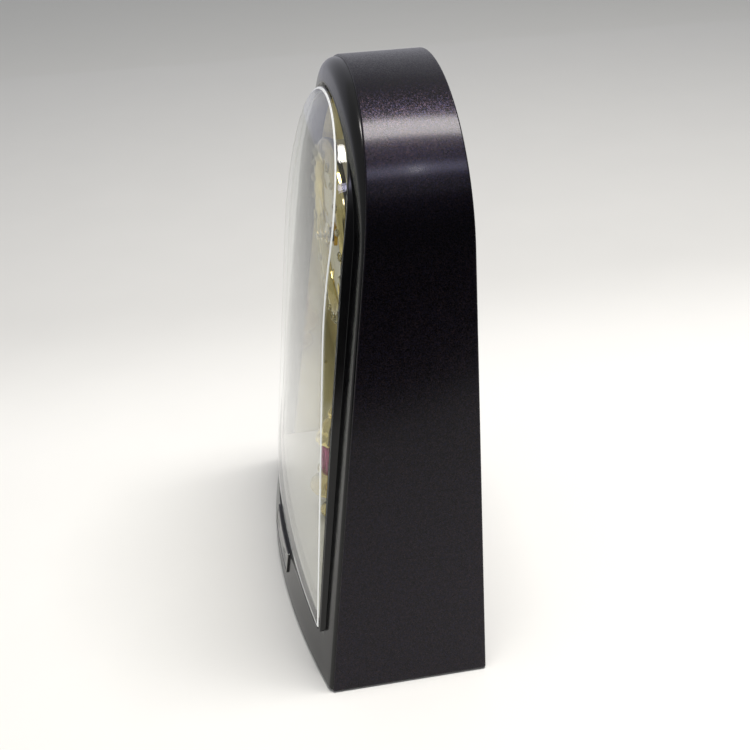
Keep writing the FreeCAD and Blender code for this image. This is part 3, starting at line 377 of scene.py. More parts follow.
def clear_acrylic(tint):
    """Acrylic, injection moulded clear: see-through face on, mirror-like at a glancing angle.

    Mirrored share = F0 + (1 - F0) (1 - cos)^5 with F0 of 0.04, on each face of the wall.
    """
    material, tree, output = blank_material("acrylic_moulded_clear")
    coords = add_node(tree, "ShaderNodeTexCoord")
    wave = add_node(tree, "ShaderNodeTexNoise", {"Scale": pattern_scale(40.0), "Detail": 1.0},
                    {"Vector": coords.outputs["Object"]})
    # Moulded sheet is never quite flat: waves 40 mm long and a few hundredths high.
    relief = add_node(tree, "ShaderNodeBump", {"Strength": 1.0, "Distance": 0.05 * MM},
                      {"Height": wave.outputs["Fac"]})
    dust = add_node(tree, "ShaderNodeTexNoise", {"Scale": pattern_scale(1.5), "Detail": 4.0},
                    {"Vector": coords.outputs["Object"]})
    film = add_node(tree, "ShaderNodeMapRange", {"To Min": 0.02, "To Max": 0.05},
                    {"Value": dust.outputs["Fac"]})
    facing = add_node(tree, "ShaderNodeLayerWeight", {"Blend": 0.5})
    fifth = add_node(tree, "ShaderNodeMath", {"operation": "POWER", 1: 5.0},
                     {0: facing.outputs["Facing"]})
    share = add_node(tree, "ShaderNodeMapRange", {"To Min": 0.04, "To Max": 1.0},
                     {"Value": fifth.outputs["Value"]})
    through = add_node(tree, "ShaderNodeBsdfTransparent", {"Color": linear(tint)})
    mirror = add_node(tree, "ShaderNodeBsdfAnisotropic", {"Color": (1.0, 1.0, 1.0, 1.0)},
                      {"Roughness": film.outputs["Result"], "Normal": relief.outputs["Normal"]})
    mixed = add_node(tree, "ShaderNodeMixShader", None,
                     {0: share.outputs["Result"], 1: through.outputs["BSDF"],
                      2: mirror.outputs["BSDF"]})
    tree.links.new(mixed.outputs["Shader"], output.inputs["Surface"])
    return material


def cut_stone(name, shade, ior, through):
    """Glass stone, faceted and polished: bright flashes, with faint flaws inside."""
    return finish(name, shade, 0.08, (0.01, 0.04), 1.2, 0.004,
                  {"IOR": ior, "Transmission Weight": through})


def printed_dial(shade, ink_shade):
    """Dial card, pearl lacquered and screen printed: sixty minute strokes and two hairlines."""
    material, tree, output = blank_material("dial_card_printed")
    coords = add_node(tree, "ShaderNodeTexCoord")
    centred = add_node(tree, "ShaderNodeMapping", {"Location": (0.0, 0.0, -DIAL_Z * MM)},
                       {"Vector": coords.outputs["Object"]})
    part = add_node(tree, "ShaderNodeSeparateXYZ", None, {"Vector": centred.outputs["Vector"]})
    flat = add_node(tree, "ShaderNodeCombineXYZ", None,
                    {"X": part.outputs["X"], "Y": part.outputs["Z"]})
    far = add_node(tree, "ShaderNodeVectorMath", {"operation": "LENGTH"},
                   {0: flat.outputs["Vector"]})
    angle = add_node(tree, "ShaderNodeMath", {"operation": "ARCTAN2"},
                     {0: part.outputs["X"], 1: part.outputs["Z"]})
    sixty = add_node(tree, "ShaderNodeMath", {"operation": "MULTIPLY", 1: 30.0 / math.pi},
                     {0: angle.outputs["Value"]})
    off = add_node(tree, "ShaderNodeMath", {"operation": "PINGPONG", 1: 0.5},
                   {0: sixty.outputs["Value"]})
    stroke = add_node(tree, "ShaderNodeMath", {"operation": "LESS_THAN", 1: 0.05},
                      {0: off.outputs["Value"]})
    inner = add_node(tree, "ShaderNodeMath", {"operation": "COMPARE", 1: 39.0 * MM, 2: 0.7 * MM},
                     {0: far.outputs["Value"]})
    tick = add_node(tree, "ShaderNodeMath", {"operation": "MULTIPLY"},
                    {0: stroke.outputs["Value"], 1: inner.outputs["Value"]})
    line = add_node(tree, "ShaderNodeMath", {"operation": "COMPARE", 1: 27.0 * MM, 2: 0.12 * MM},
                    {0: far.outputs["Value"]})
    edge = add_node(tree, "ShaderNodeMath", {"operation": "COMPARE", 1: 39.8 * MM, 2: 0.12 * MM},
                    {0: far.outputs["Value"]})
    lines = add_node(tree, "ShaderNodeMath", {"operation": "ADD", "use_clamp": True},
                     {0: line.outputs["Value"], 1: edge.outputs["Value"]})
    ink = add_node(tree, "ShaderNodeMath", {"operation": "ADD", "use_clamp": True},
                   {0: tick.outputs["Value"], 1: lines.outputs["Value"]})
    pearl = add_node(tree, "ShaderNodeTexNoise", {"Scale": pattern_scale(6.0), "Detail": 5.0},
                     {"Vector": coords.outputs["Object"]})
    card = add_node(tree, "ShaderNodeMix",
                    {"data_type": "RGBA", MIX_A: linear(shade), MIX_B: linear("#fbf8ee")},
                    {0: pearl.outputs["Fac"]})
    colour = add_node(tree, "ShaderNodeMix", {"data_type": "RGBA", MIX_B: linear(ink_shade)},
                      {0: ink.outputs["Value"], MIX_A: card.outputs[MIX_COLOUR]})
    rough = add_node(tree, "ShaderNodeMapRange", {"To Min": 0.25, "To Max": 0.40},
                     {"Value": pearl.outputs["Fac"]})
    body = add_node(tree, "ShaderNodeBsdfPrincipled", {"Coat Weight": 0.4},
                    {"Base Color": colour.outputs[MIX_COLOUR],
                     "Roughness": rough.outputs["Result"]})
    tree.links.new(body.outputs["BSDF"], output.inputs["Surface"])
    return material


# ---------------------------------------------------------------- settings
def length(name, note, millimetres):
    """Length setting whose default is given in mm and kept in metres."""
    return bpy.props.FloatProperty(name=name, description=note, default=millimetres * MM,
                                   min=0.0, unit="LENGTH", precision=5)


def shade(name, note, text):
    """Colour setting whose default is an sRGB hex value."""
    return bpy.props.FloatVectorProperty(name=name, description=note, subtype="COLOR", size=4,
                                         min=0.0, max=1.0, default=linear(text))


class ClockShape(bpy.types.PropertyGroup):
    """Edge sizes of the rebuilt surfaces"""
    case_edge: length("Case edge", "Rounding of the case's front and back edges", 0.8)
    frame_side: length("Frame side edge", "Rounding of the front frame at its sides", 1.3)
    frame_top: length("Frame top edge", "Rounding of the front frame at the top", 5.2)
    cover_edge: length("Cover edge", "Rounding of the clear cover's front edge", 1.6)
    rim_edge: length("Rim edge", "Rounding of the rim round the cover", 0.45)
    stones: bpy.props.IntProperty(name="Stones", description="Stones set round the dial",
                                  default=24, min=6, max=48)


class ClockStage(bpy.types.PropertyGroup):
    """Lamps and floor"""
    overhead: bpy.props.FloatProperty(name="Overhead lamp", description="Soft lamp above",
                                      default=22.0, min=0.0, unit="POWER")
    window: bpy.props.FloatProperty(name="Window lamp", description="Tall soft lamp to the side",
                                    default=3.2, min=0.0, unit="POWER")
    room: bpy.props.FloatProperty(name="Room light", description="Even light from all round",
                                  default=0.44, min=0.0, subtype="FACTOR")
    floor: shade("Floor", "Pale table top", "#f1f1ef")


def mm_of(group, name):
    """A length setting in mm."""
    return getattr(group, name) / MM


class ClockPiece:
    """Shared parts of the operators"""
    bl_options = {"REGISTER", "UNDO"}


class CLOCK_OT_case(ClockPiece, bpy.types.Operator):
    """Build the lacquered case: a flared, arch-topped tube with softened edges"""
    bl_idname = "clock.case"
    bl_label = "Case"

    def execute(self, context):
        edge = mm_of(context.scene.clock_shape, "case_edge")
        turn = np.linspace(0.0, math.pi / 2, 5)
        rings = []
        for t in turn:                              # back edge, rounded outwards
            grow = edge * (1.0 - math.sin(t))
            flat = outline(grow, FOOT + grow)
            rings.append(ring(flat, edge * (1.0 - math.cos(t))))
        for t in turn[::-1]:                        # front edge, in the leaning plane
            grow = edge * (1.0 - math.sin(t))
            flat = outline(grow, FOOT + grow)
            rings.append(ring_on(flat, case_depth, -edge * (1.0 - math.cos(t))))
        inner = outline(CASE_WALL, FOOT + CASE_WALL)
        rings += [ring_on(inner, case_depth), ring(inner, 0.0)]
        # The last colour is the painted highlight of the flecks on the back edge.
        look = flake_lacquer("#0a0a0c", "#1b1b2c", "#2b2124", "#b9b7b4")
        make_piece("case_lacquered", "case", look, [skin(rings, loop=True)],
                   ["case_shell"])
        return {"FINISHED"}


class CLOCK_OT_front_frame(ClockPiece, bpy.types.Operator):
    """Build the gloss black front frame with the rim that stands round the cover"""
    bl_idname = "clock.front_frame"
    bl_label = "Front frame"

    def execute(self, context):
        shape = context.scene.clock_shape
        side, top = mm_of(shape, "frame_side"), mm_of(shape, "frame_top")
        rim_edge = mm_of(shape, "rim_edge")
        outer = outline(FACE_INSET, FACE_BOTTOM)
        step = 5.0
        inward = (outline(FACE_INSET + step, FACE_BOTTOM + step) - outer) / step
        # The rounding grows smoothly from the shoulder to the top of the arch.
        shoulder, span = 225.0, 72.0
        climb = np.clip((outer[:, 1] - shoulder) / span, 0.0, 1.0)
        radius = side + (top - side) * climb * climb * (3.0 - 2.0 * climb)
        rings = [ring_on(outer, case_depth)]
        for t in np.linspace(0.0, math.pi / 2, 9):
            flat = outer + inward * (radius * (1.0 - math.cos(t)))[:, None]
            rings.append(ring_on(flat, face_depth, -radius * (1.0 - math.sin(t))))
        start = outer + inward * radius[:, None]
        rim = outline(RIM_INSET, RIM_BOTTOM, 3.0)
        for share in (0.3, 0.6, 0.9, 0.985):
            rings.append(ring_on(start + (rim - start) * share, face_depth))
        crest = rim_depth(rim[:, 0], rim[:, 1])
        hole = outline(OPENING_INSET, OPENING_BOTTOM, 1.5)
        lip = rim_depth(hole[:, 0], hole[:, 1])
        least = 0.15                                # lowest wall that the rim may have
        floor = face_depth(rim[:, 0], rim[:, 1]) + least
        rings.append(ring(rim, floor))
        rings.append(ring(rim, np.maximum(crest - rim_edge, floor)))
        across = hole - rim
        width = np.maximum(np.linalg.norm(across, axis=1, keepdims=True), 0.1)
        for t in np.linspace(0.2, 1.0, 4) * math.pi / 2:
            flat = rim + across / width * rim_edge * (1.0 - math.cos(t))
            rings.append(ring(flat, np.maximum(crest - rim_edge * (1.0 - math.sin(t)), floor)))
        for t in np.linspace(1.0, 0.0, 4) * math.pi / 2:
            flat = hole - across / width * rim_edge * (1.0 - math.cos(t))
            rings.append(ring(flat, lip - rim_edge * (1.0 - math.sin(t))))
        rings.append(ring_on(hole, face_depth, -2.0))
        hollow = outline(3.8, FOOT + 3.4)
        rings += [ring_on(hollow + (hole - hollow) * 0.05, face_depth, -FACE_WALL),
                  ring_on(hollow, case_depth)]
        look = finish("abs_moulded_gloss_black", "#0b0b0c", 0.25, (0.14, 0.20), 14.0, 0.006,
                      {"IOR": 1.53, "Specular IOR Level": 0.32})
        make_piece("frame_gloss", "case", look, [skin(rings, loop=True)],
                   ["front_frame"])
        return {"FINISHED"}


class CLOCK_OT_cover(ClockPiece, bpy.types.Operator):
    """Build the clear cover: a leaning dome with a rounded edge, side walls and a flange"""
    bl_idname = "clock.cover"
    bl_label = "Clear cover"

    def execute(self, context):
        edge = mm_of(context.scene.clock_shape, "cover_edge")
        centre = np.array([0.0, 150.0])
        rings = []
        rim = outline(COVER_INSET + edge, COVER_BOTTOM + edge)
        for share in np.linspace(0.04, 1.0, 26):
            rings.append(ring_on(centre + (rim - centre) * share, cover_depth))
        for t in np.linspace(0.12, 1.0, 7) * math.pi / 2:
            grow = edge * (1.0 - math.sin(t))
            flat = outline(COVER_INSET + grow, COVER_BOTTOM + grow)
            rings.append(ring_on(flat, cover_depth, -edge * (1.0 - math.cos(t))))
        foot = outline(COVER_INSET, COVER_BOTTOM)
        wing = outline(COVER_INSET - FLANGE_WIDE, COVER_BOTTOM - FLANGE_WIDE)
        inset, bottom = COVER_INSET + COVER_WALL, COVER_BOTTOM + COVER_WALL
        inner = outline(inset, bottom)
        rings += [ring_on(foot, case_depth, FLANGE_FRONT), ring_on(wing, case_depth, FLANGE_FRONT),
                  ring_on(wing, case_depth, FLANGE_BACK), ring_on(inner, case_depth, FLANGE_BACK)]
        hollow = 0.6                                # radius inside the rounded edge
        for t in np.linspace(0.0, 1.0, 4) * math.pi / 2:
            grow = hollow * (1.0 - math.cos(t))
            flat = outline(inset + grow, bottom + grow)
            sink = COVER_WALL + hollow * (1.0 - math.sin(t))
            rings.append(ring_on(flat, cover_depth, -sink))
        back = outline(inset + hollow, bottom + hollow)
        for share in np.linspace(0.96, 0.04, 24):
            rings.append(ring_on(centre + (back - centre) * share, cover_depth, -COVER_WALL))
        front = ring_on(centre[None, :], cover_depth)
        behind = ring_on(centre[None, :], cover_depth, -COVER_WALL)
        look = clear_acrylic("#fcfdfc")
        make_piece("cover_clear", "case", look,
                   [skin(rings, poles=(front, behind))], ["front_cover"])
        # Painted highlight: a faintly glowing white line for the light the rounded edge gathers
        # along the wall.
        section = ((0.35, 0.75), (0.75, 0.42), (1.25, 0.22), (1.25, 0.42), (0.75, 0.62),
                   (0.45, 0.85))                    # inset and depth below the front
        line = [ring_on(outline(COVER_INSET + grow, COVER_BOTTOM + grow), cover_depth, -sink)
                for grow, sink in section]
        white = finish("acrylic_edge_painted_highlight", "#f4f5f4", 0.02, (0.25, 0.35), 6.0, 0.004,
                       {"IOR": 1.49, "Emission Color": (1.0, 1.0, 1.0, 1.0),
                        "Emission Strength": 0.2})
        make_piece("cover_edge_painted_highlight", "case", white, [skin(line, loop=True)],
                   ["front_cover"])
        return {"FINISHED"}


class CLOCK_OT_liner(ClockPiece, bpy.types.Operator):
    """Build the pale gold mirror liner that runs round the chamber"""
    bl_idname = "clock.liner"
    bl_label = "Mirror liner"

    def execute(self, context):
        outer = outline(COVER_INSET + 0.6, FLOOR_Z)
        inner = outline(COVER_INSET + 1.8, FLOOR_Z + 0.02)
        front = FLANGE_BACK - 0.1
        rings = [ring(outer, PANEL_FRONT), ring_on(outer, case_depth, front),
                 ring_on(inner, case_depth, front), ring(inner, PANEL_FRONT)]
        # Vacuum plating on a moulded wall: a clear pale gold mirror with slow ripples.
        look = finish("gold_vacuum_plated_mirror", "#e2d9ae", 0.04, (0.05, 0.10), 18.0, 0.03,
                      METAL)
        make_piece("liner_gold", "case", look, [skin(rings, loop=True)],
                   ["gold_liner"])
        return {"FINISHED"}


class CLOCK_OT_badge(ClockPiece, bpy.types.Operator):
    """Build the small blank plate below the cover, black with a bright bevelled border"""
    bl_idname = "clock.badge"
    bl_label = "Badge plate"

    def execute(self, context):
        wide, high, middle = 26.0, 6.5, 18.6

        def plate_ring(inset, shift, count=12):
            """Rounded rectangle in from the plate's edge by inset, laid on the face."""
            r = max(0.9 - inset, 0.25)
            turn = np.linspace(0.0, math.pi / 2, 6)
            cx, cz = wide - inset - r, high - inset - r
            corner = np.stack([cx + r * np.cos(turn), cz + r * np.sin(turn)], axis=1)
            run = np.stack([np.linspace(cx, 0.0, count)[1:], np.full(count - 1, cz + r)], axis=1)
            half = np.concatenate([corner, run])
            full = np.concatenate([half, (half * (-1, 1))[-2::-1]])
            full = np.concatenate([full, (full * (1, -1))[::-1]])
            return ring_on(full + (0.0, middle), face_depth, shift)

        # Each section as (inset, height above the face) rows.
        border, wall, field = (
            [plate_ring(inset, rise) for inset, rise in section] for section in (
                ((0.32, 0.92), (0.42, 1.12), (0.62, 1.18), (0.88, 1.18), (0.98, 1.08),
                 (0.98, 0.92)),
                ((0.0, 0.02), (0.0, 0.85), (0.3, 1.02), (1.0, 1.02), (1.2, 0.85), (1.2, 0.02)),
                ((1.22, 0.02), (1.22, 0.88), (6.0, 0.88))))
        at = np.array([[0.0, middle]])
        poles = (ring_on(at, face_depth, 0.02), ring_on(at, face_depth, 0.88))
        # Border polished through its black coat to the nickel: a bright line round the plate.
        bright = finish("nickel_plate_polished", "#a9a8a4", 0.10, (0.10, 0.22), 0.8, 0.004, METAL)
        dark = finish("enamel_fired_black", "#0a0a0b", 0.3, (0.12, 0.2), 2.0, 0.004,
                      {"IOR": 1.5, "Coat Weight": 0.5})
        make_piece("badge_border", "case", bright, [skin(border, loop=True)],
                   ["badge_plate"])
        make_piece("badge_field", "case", dark,
                   [skin(wall, loop=True), skin(field, poles=poles)], ["badge_plate"])
        return {"FINISHED"}


class CLOCK_OT_dial(ClockPiece, bpy.types.Operator):
    """Build the gold dial ring, its set stones and the hour markers"""
    bl_idname = "clock.dial"
    bl_label = "Dial"

    def execute(self, context):
        circle = np.linspace(0.0, 2 * math.pi, 120, endpoint=False)
        at = (0.0, Y_BACK, DIAL_Z)
        ring_gold = finish("gold_plate_bright", "#d8c78a", 0.05, (0.05, 0.12), 3.0, 0.004, METAL)
        face = [(40.5, 52.25), (40.5, 53.4), (42.0, 56.2), (44.0, 57.0), (46.8, 57.0),
                (49.4, 55.4), (50.0, 53.0), (50.0, 50.0)]
        back = [(48.1, 50.0), (48.1, 52.2), (40.6, 52.25)]
        profile = np.vstack([softened(face), back])
        make_piece("dial_ring_gold", "case", ring_gold,
                   [skin(around(circle, profile, at, False), loop=True)], ["dial_ring"])
        stones = context.scene.clock_shape.stones
        parts = [self.stone(2 * math.pi * (n + 0.5) / stones, 2.6 if n % 2 else 2.0)
                 for n in range(stones)]
        make_piece("dial_stones", "case",
                   cut_stone("glass_stone_cut_clear", "#f4f7f8", 1.62, 1.0), parts,
                   ["dial_crystals"], crease=0.0)
        gold = finish("gold_anodised_polished", "#ddcc90", 0.05, (0.08, 0.16), 0.6, 0.003, METAL)
        batons = [self.baton(n) for n in range(12)]
        make_piece("hour_batons", "case", gold, batons, ["hour_markers"],
                   crease=0.0)
        return {"FINISHED"}

    @staticmethod
    def stone(turn, size):
        """Brilliant: girdle, a row of kite points turned half a step, and a flat table."""
        centre = (STONE_CIRCLE * math.sin(turn), Y_BACK, DIAL_Z + STONE_CIRCLE * math.cos(turn))
        steps = np.linspace(0.0, 2 * math.pi, 8, endpoint=False)
        rings = (around(steps, [(size * 0.94, RING_FACE - 0.25), (size, RING_FACE + 0.1)],
                        centre, False)
                 + around(steps + math.pi / 8, [(size * 0.86, RING_FACE + 0.7)], centre, False)
                 + around(steps + math.pi / 8, [(size * 0.52, RING_FACE + 1.3)], centre, False))
        x, y, z = centre
        poles = (np.array([[x, y - RING_FACE + 0.25, z]]),
                 np.array([[x, y - RING_FACE - 1.3, z]]))
        return skin(rings, poles=poles)

    @staticmethod
    def baton(hour):
        """Roof-shaped bar: a flat foot, upright flanks and a ridge that stops short."""
        inner, half = (29.0, 1.1) if hour % 3 == 0 else (31.5, 0.7)
        low, mid, top, outer = 52.2, 52.6, 53.1, 38.0
        foot = [(-half, inner), (half, inner), (half, outer), (-half, outer)]
        ridge = [(0.0, inner + half), (0.0, outer - half)]
        flat = [(x, r, d) for d in (low, mid) for x, r in foot]
        flat += [(x, r, top) for x, r in ridge]
        faces = [[0, 1, 2, 3], [0, 4, 5, 1], [1, 5, 6, 2], [2, 6, 7, 3], [3, 7, 4, 0],
                 [4, 8, 5], [5, 8, 9, 6], [6, 9, 7], [7, 9, 8, 4]]
        x, r, d = np.array(flat).T
        a = math.pi / 6 * hour
        return np.stack([x * math.cos(a) + r * math.sin(a), Y_BACK - d,
                         DIAL_Z + r * math.cos(a) - x * math.sin(a)], axis=1), faces


class CLOCK_OT_hands(ClockPiece, bpy.types.Operator):
    """Build the leaf hands with a ridge along each blade, and the thin seconds hand"""
    bl_idname = "clock.hands"
    bl_label = "Hands"

    def execute(self, context):
        gold = finish("brass_stamped_polished", "#e0cf92", 0.05, (0.06, 0.14), 0.5, 0.003, METAL)
        # Name, reach, half-width, near and far depth, boss and bore radius, angle at rest.
        hands = (("hour", 25.0, 3.4, 57.3, 58.0, 4.2, 2.4, -52.0),
                 ("minute", 36.0, 2.9, 59.4, 60.1, 3.4, 1.5, 61.0))
        for name, reach, wide, near, far, hub, bore, rest in hands:
            parts = [self.blade(reach, wide, near, far), self.boss(hub, bore, near, far)]
            parts = [(self.turned(p, rest), f) for p, f in parts]
            make_piece(name + "_hand_leaf", name + "_hand_group", gold, parts,
                       [name + "_hand"], crease=25.0)
        near, far = 61.8, 62.3
        needle = self.needle(near, far)
        boss = self.boss(2.4, 0.6, near, far)
        tail = self.boss(1.8, 0.9, near, far, NEEDLE_TAIL)
        parts = [(self.turned(p, 152.0), f) for p, f in (needle, boss, tail)]
        make_piece("second_hand_needle", "second_hand_group", gold, parts,
                   ["second_hand"], crease=25.0)
        return {"FINISHED"}

    @staticmethod
    def turned(points, degrees):
        """Turn points clockwise from twelve about the dial's axis."""
        a = math.radians(degrees)
        x, z = points[:, 0], points[:, 2] - DIAL_Z
        return np.stack([x * math.cos(a) + z * math.sin(a), points[:, 1],
                         DIAL_Z + z * math.cos(a) - x * math.sin(a)], axis=1)

    @staticmethod
    def sections(along, half, near, far):
        """Bar of hexagonal section: flat back, thin flanks and a ridge on the middle line."""
        thick = far - near
        side = np.stack([-half, -half, 0 * half, half, half, 0 * half], axis=1)
        depth = np.array([near, near + 0.35 * thick, far, near + 0.35 * thick, near, near])
        rows = [np.stack([side[k], Y_BACK - depth, DIAL_Z + np.full(6, along[k])], axis=1)
                for k in range(len(along))]
        first = rows[0].mean(axis=0, keepdims=True)
        last = rows[-1].mean(axis=0, keepdims=True)
        return skin(rows, poles=(first, last))

    def blade(self, reach, wide, near, far):
        """Half-width wide sin(pi u)^0.8 along the leaf, and a plain stem below it."""
        along = np.concatenate([np.linspace(3.0, reach * 0.36, 4),
                                np.linspace(reach * 0.36, reach, 40)[1:]])
        u = np.clip((along - reach * 0.34) / (reach * 0.66), 0.0, 1.0)
        half = np.maximum(wide * np.sin(math.pi * u) ** 0.8, np.where(u < 0.5, 0.75, 0.05))
        return self.sections(along, half, near, far)

    def needle(self, near, far):
        """Straight from the tail to the axis, then tapering evenly to the tip."""
        along = np.linspace(NEEDLE_TAIL, NEEDLE_REACH, 20)
        half = np.interp(along, (NEEDLE_TAIL, 0.0, NEEDLE_REACH), (0.4, 0.4, 0.16))
        return self.sections(along, half, near, far)

    @staticmethod
    def boss(outer, bore, near, far, along=0.0):
        """Flat ring with a chamfered edge."""
        edge = 0.2
        profile = [(bore + 0.02, near), (outer, near), (outer, far - edge), (outer - edge, far),
                   (bore + 0.02 + edge, far), (bore + 0.02, far - edge)]
        circle = np.linspace(0.0, 2 * math.pi, 48, endpoint=False)
        at = (0.0, Y_BACK, DIAL_Z + along)
        return skin(around(circle, profile, at, False), loop=True)


class CLOCK_OT_ornament(ClockPiece, bpy.types.Operator):
    """Build the turning ornament: gold foot, ring of pink stones and fluted gold crown"""
    bl_idname = "clock.ornament"
    bl_label = "Ornament"

    def execute(self, context):
        y = Y_BACK - SPIN_DEPTH
        gold = finish("gold_plate_turned", "#d9c684", 0.05, (0.05, 0.12), 2.0, 0.006, METAL)
        foot = softened([(1.52, 0.0), (10.0, 0.0), (11.0, 0.8), (11.0, 1.8), (7.5, 3.2),
                         (3.6, 5.0), (2.8, 8.0), (4.0, 11.5), (3.0, 15.0), (4.5, 17.4),
                         (15.0, 18.4), (16.0, 19.2), (16.0, 20.4), (14.0, 21.6), (8.0, 23.2),
                         (5.0, 25.0), (5.0, 26.6), (9.5, 28.6), (11.0, 30.6), (11.0, 31.6),
                         (1.52, 31.6)])
        make_piece("ornament_foot", "ornament_group", gold,
                   [skin(self.fluted(foot, y, ORNAMENT_Z, 24, 0.02), loop=True)],
                   ["ornament_base"])
        crown = softened([(2.0, 18.46), (10.0, 18.46), (11.2, 19.6), (10.4, 22.0), (8.6, 24.4),
                          (7.6, 28.0), (5.4, 31.4), (2.2, 33.6), (2.2, 34.8), (3.0, 36.4),
                          (2.2, 38.4), (0.3, 40.2)])
        poles = (np.array([[0.0, y, CUP_TOP + 18.46]]), np.array([[0.0, y, CUP_TOP + 40.3]]))
        make_piece("ornament_crown_fluted", "ornament_group", gold,
                   [skin(self.fluted(crown, y, CUP_TOP, 12, 0.10), poles=poles)],
                   ["ornament_crown"])
        pink = cut_stone("glass_rod_faceted_pink", "#e0559f", 1.55, 0.75)
        rods, count, circle = [], 8, 6.6
        steps = np.linspace(0.0, 2 * math.pi, 6, endpoint=False)
        rows = [(1.9, 0.07), (2.28, 0.6), (2.28, 7.4), (2.0, 7.9), (2.28, 8.4),
                (2.28, 15.4), (0.9, 18.3)]
        for n in range(count):
            a = 2 * math.pi * n / count
            x0, y0 = circle * math.cos(a), y - circle * math.sin(a)
            ends = (np.array([[x0, y0, CUP_TOP + 0.07]]), np.array([[x0, y0, CUP_TOP + 18.35]]))
            rods.append(skin(around(steps, rows, (x0, y0, CUP_TOP), True), poles=ends))
        make_piece("ornament_rods", "ornament_group", pink, rods,
                   ["ornament_crystals"], crease=0.0)
        return {"FINISHED"}

    @staticmethod
    def fluted(profile, y, z, flutes, depth):
        """Turned rings whose radius dips by depth (1 - cos(flutes t)) / 2, more at the rim."""
        t = np.linspace(0.0, 2 * math.pi, flutes * 10, endpoint=False)
        widest = profile[:, 0].max()
        rings = []
        for r, h in profile:
            radius = r * (1.0 - depth * (r / widest) ** 2 * 0.5 * (1.0 - np.cos(flutes * t)))
            rings.append(np.stack([radius * np.cos(t), y + radius * np.sin(t),
                                   z + h + 0 * t], axis=1))
        return rings


class CLOCK_OT_finishes(ClockPiece, bpy.types.Operator):
    """Give every CAD part that still shows its own finish"""
    bl_idname = "clock.finishes"
    bl_label = "Finishes"

    def execute(self, context):
        looks = clock_finishes()
        for part in frame["record"]["subparts"]:
            node = NODES[part["node"]]
            look = looks.get(part["material_slot"])
            if look is None:
                continue
            if not node.material_slots:
                node.data.materials.append(look)
            for place in node.material_slots:
                place.material = look
        return {"FINISHED"}


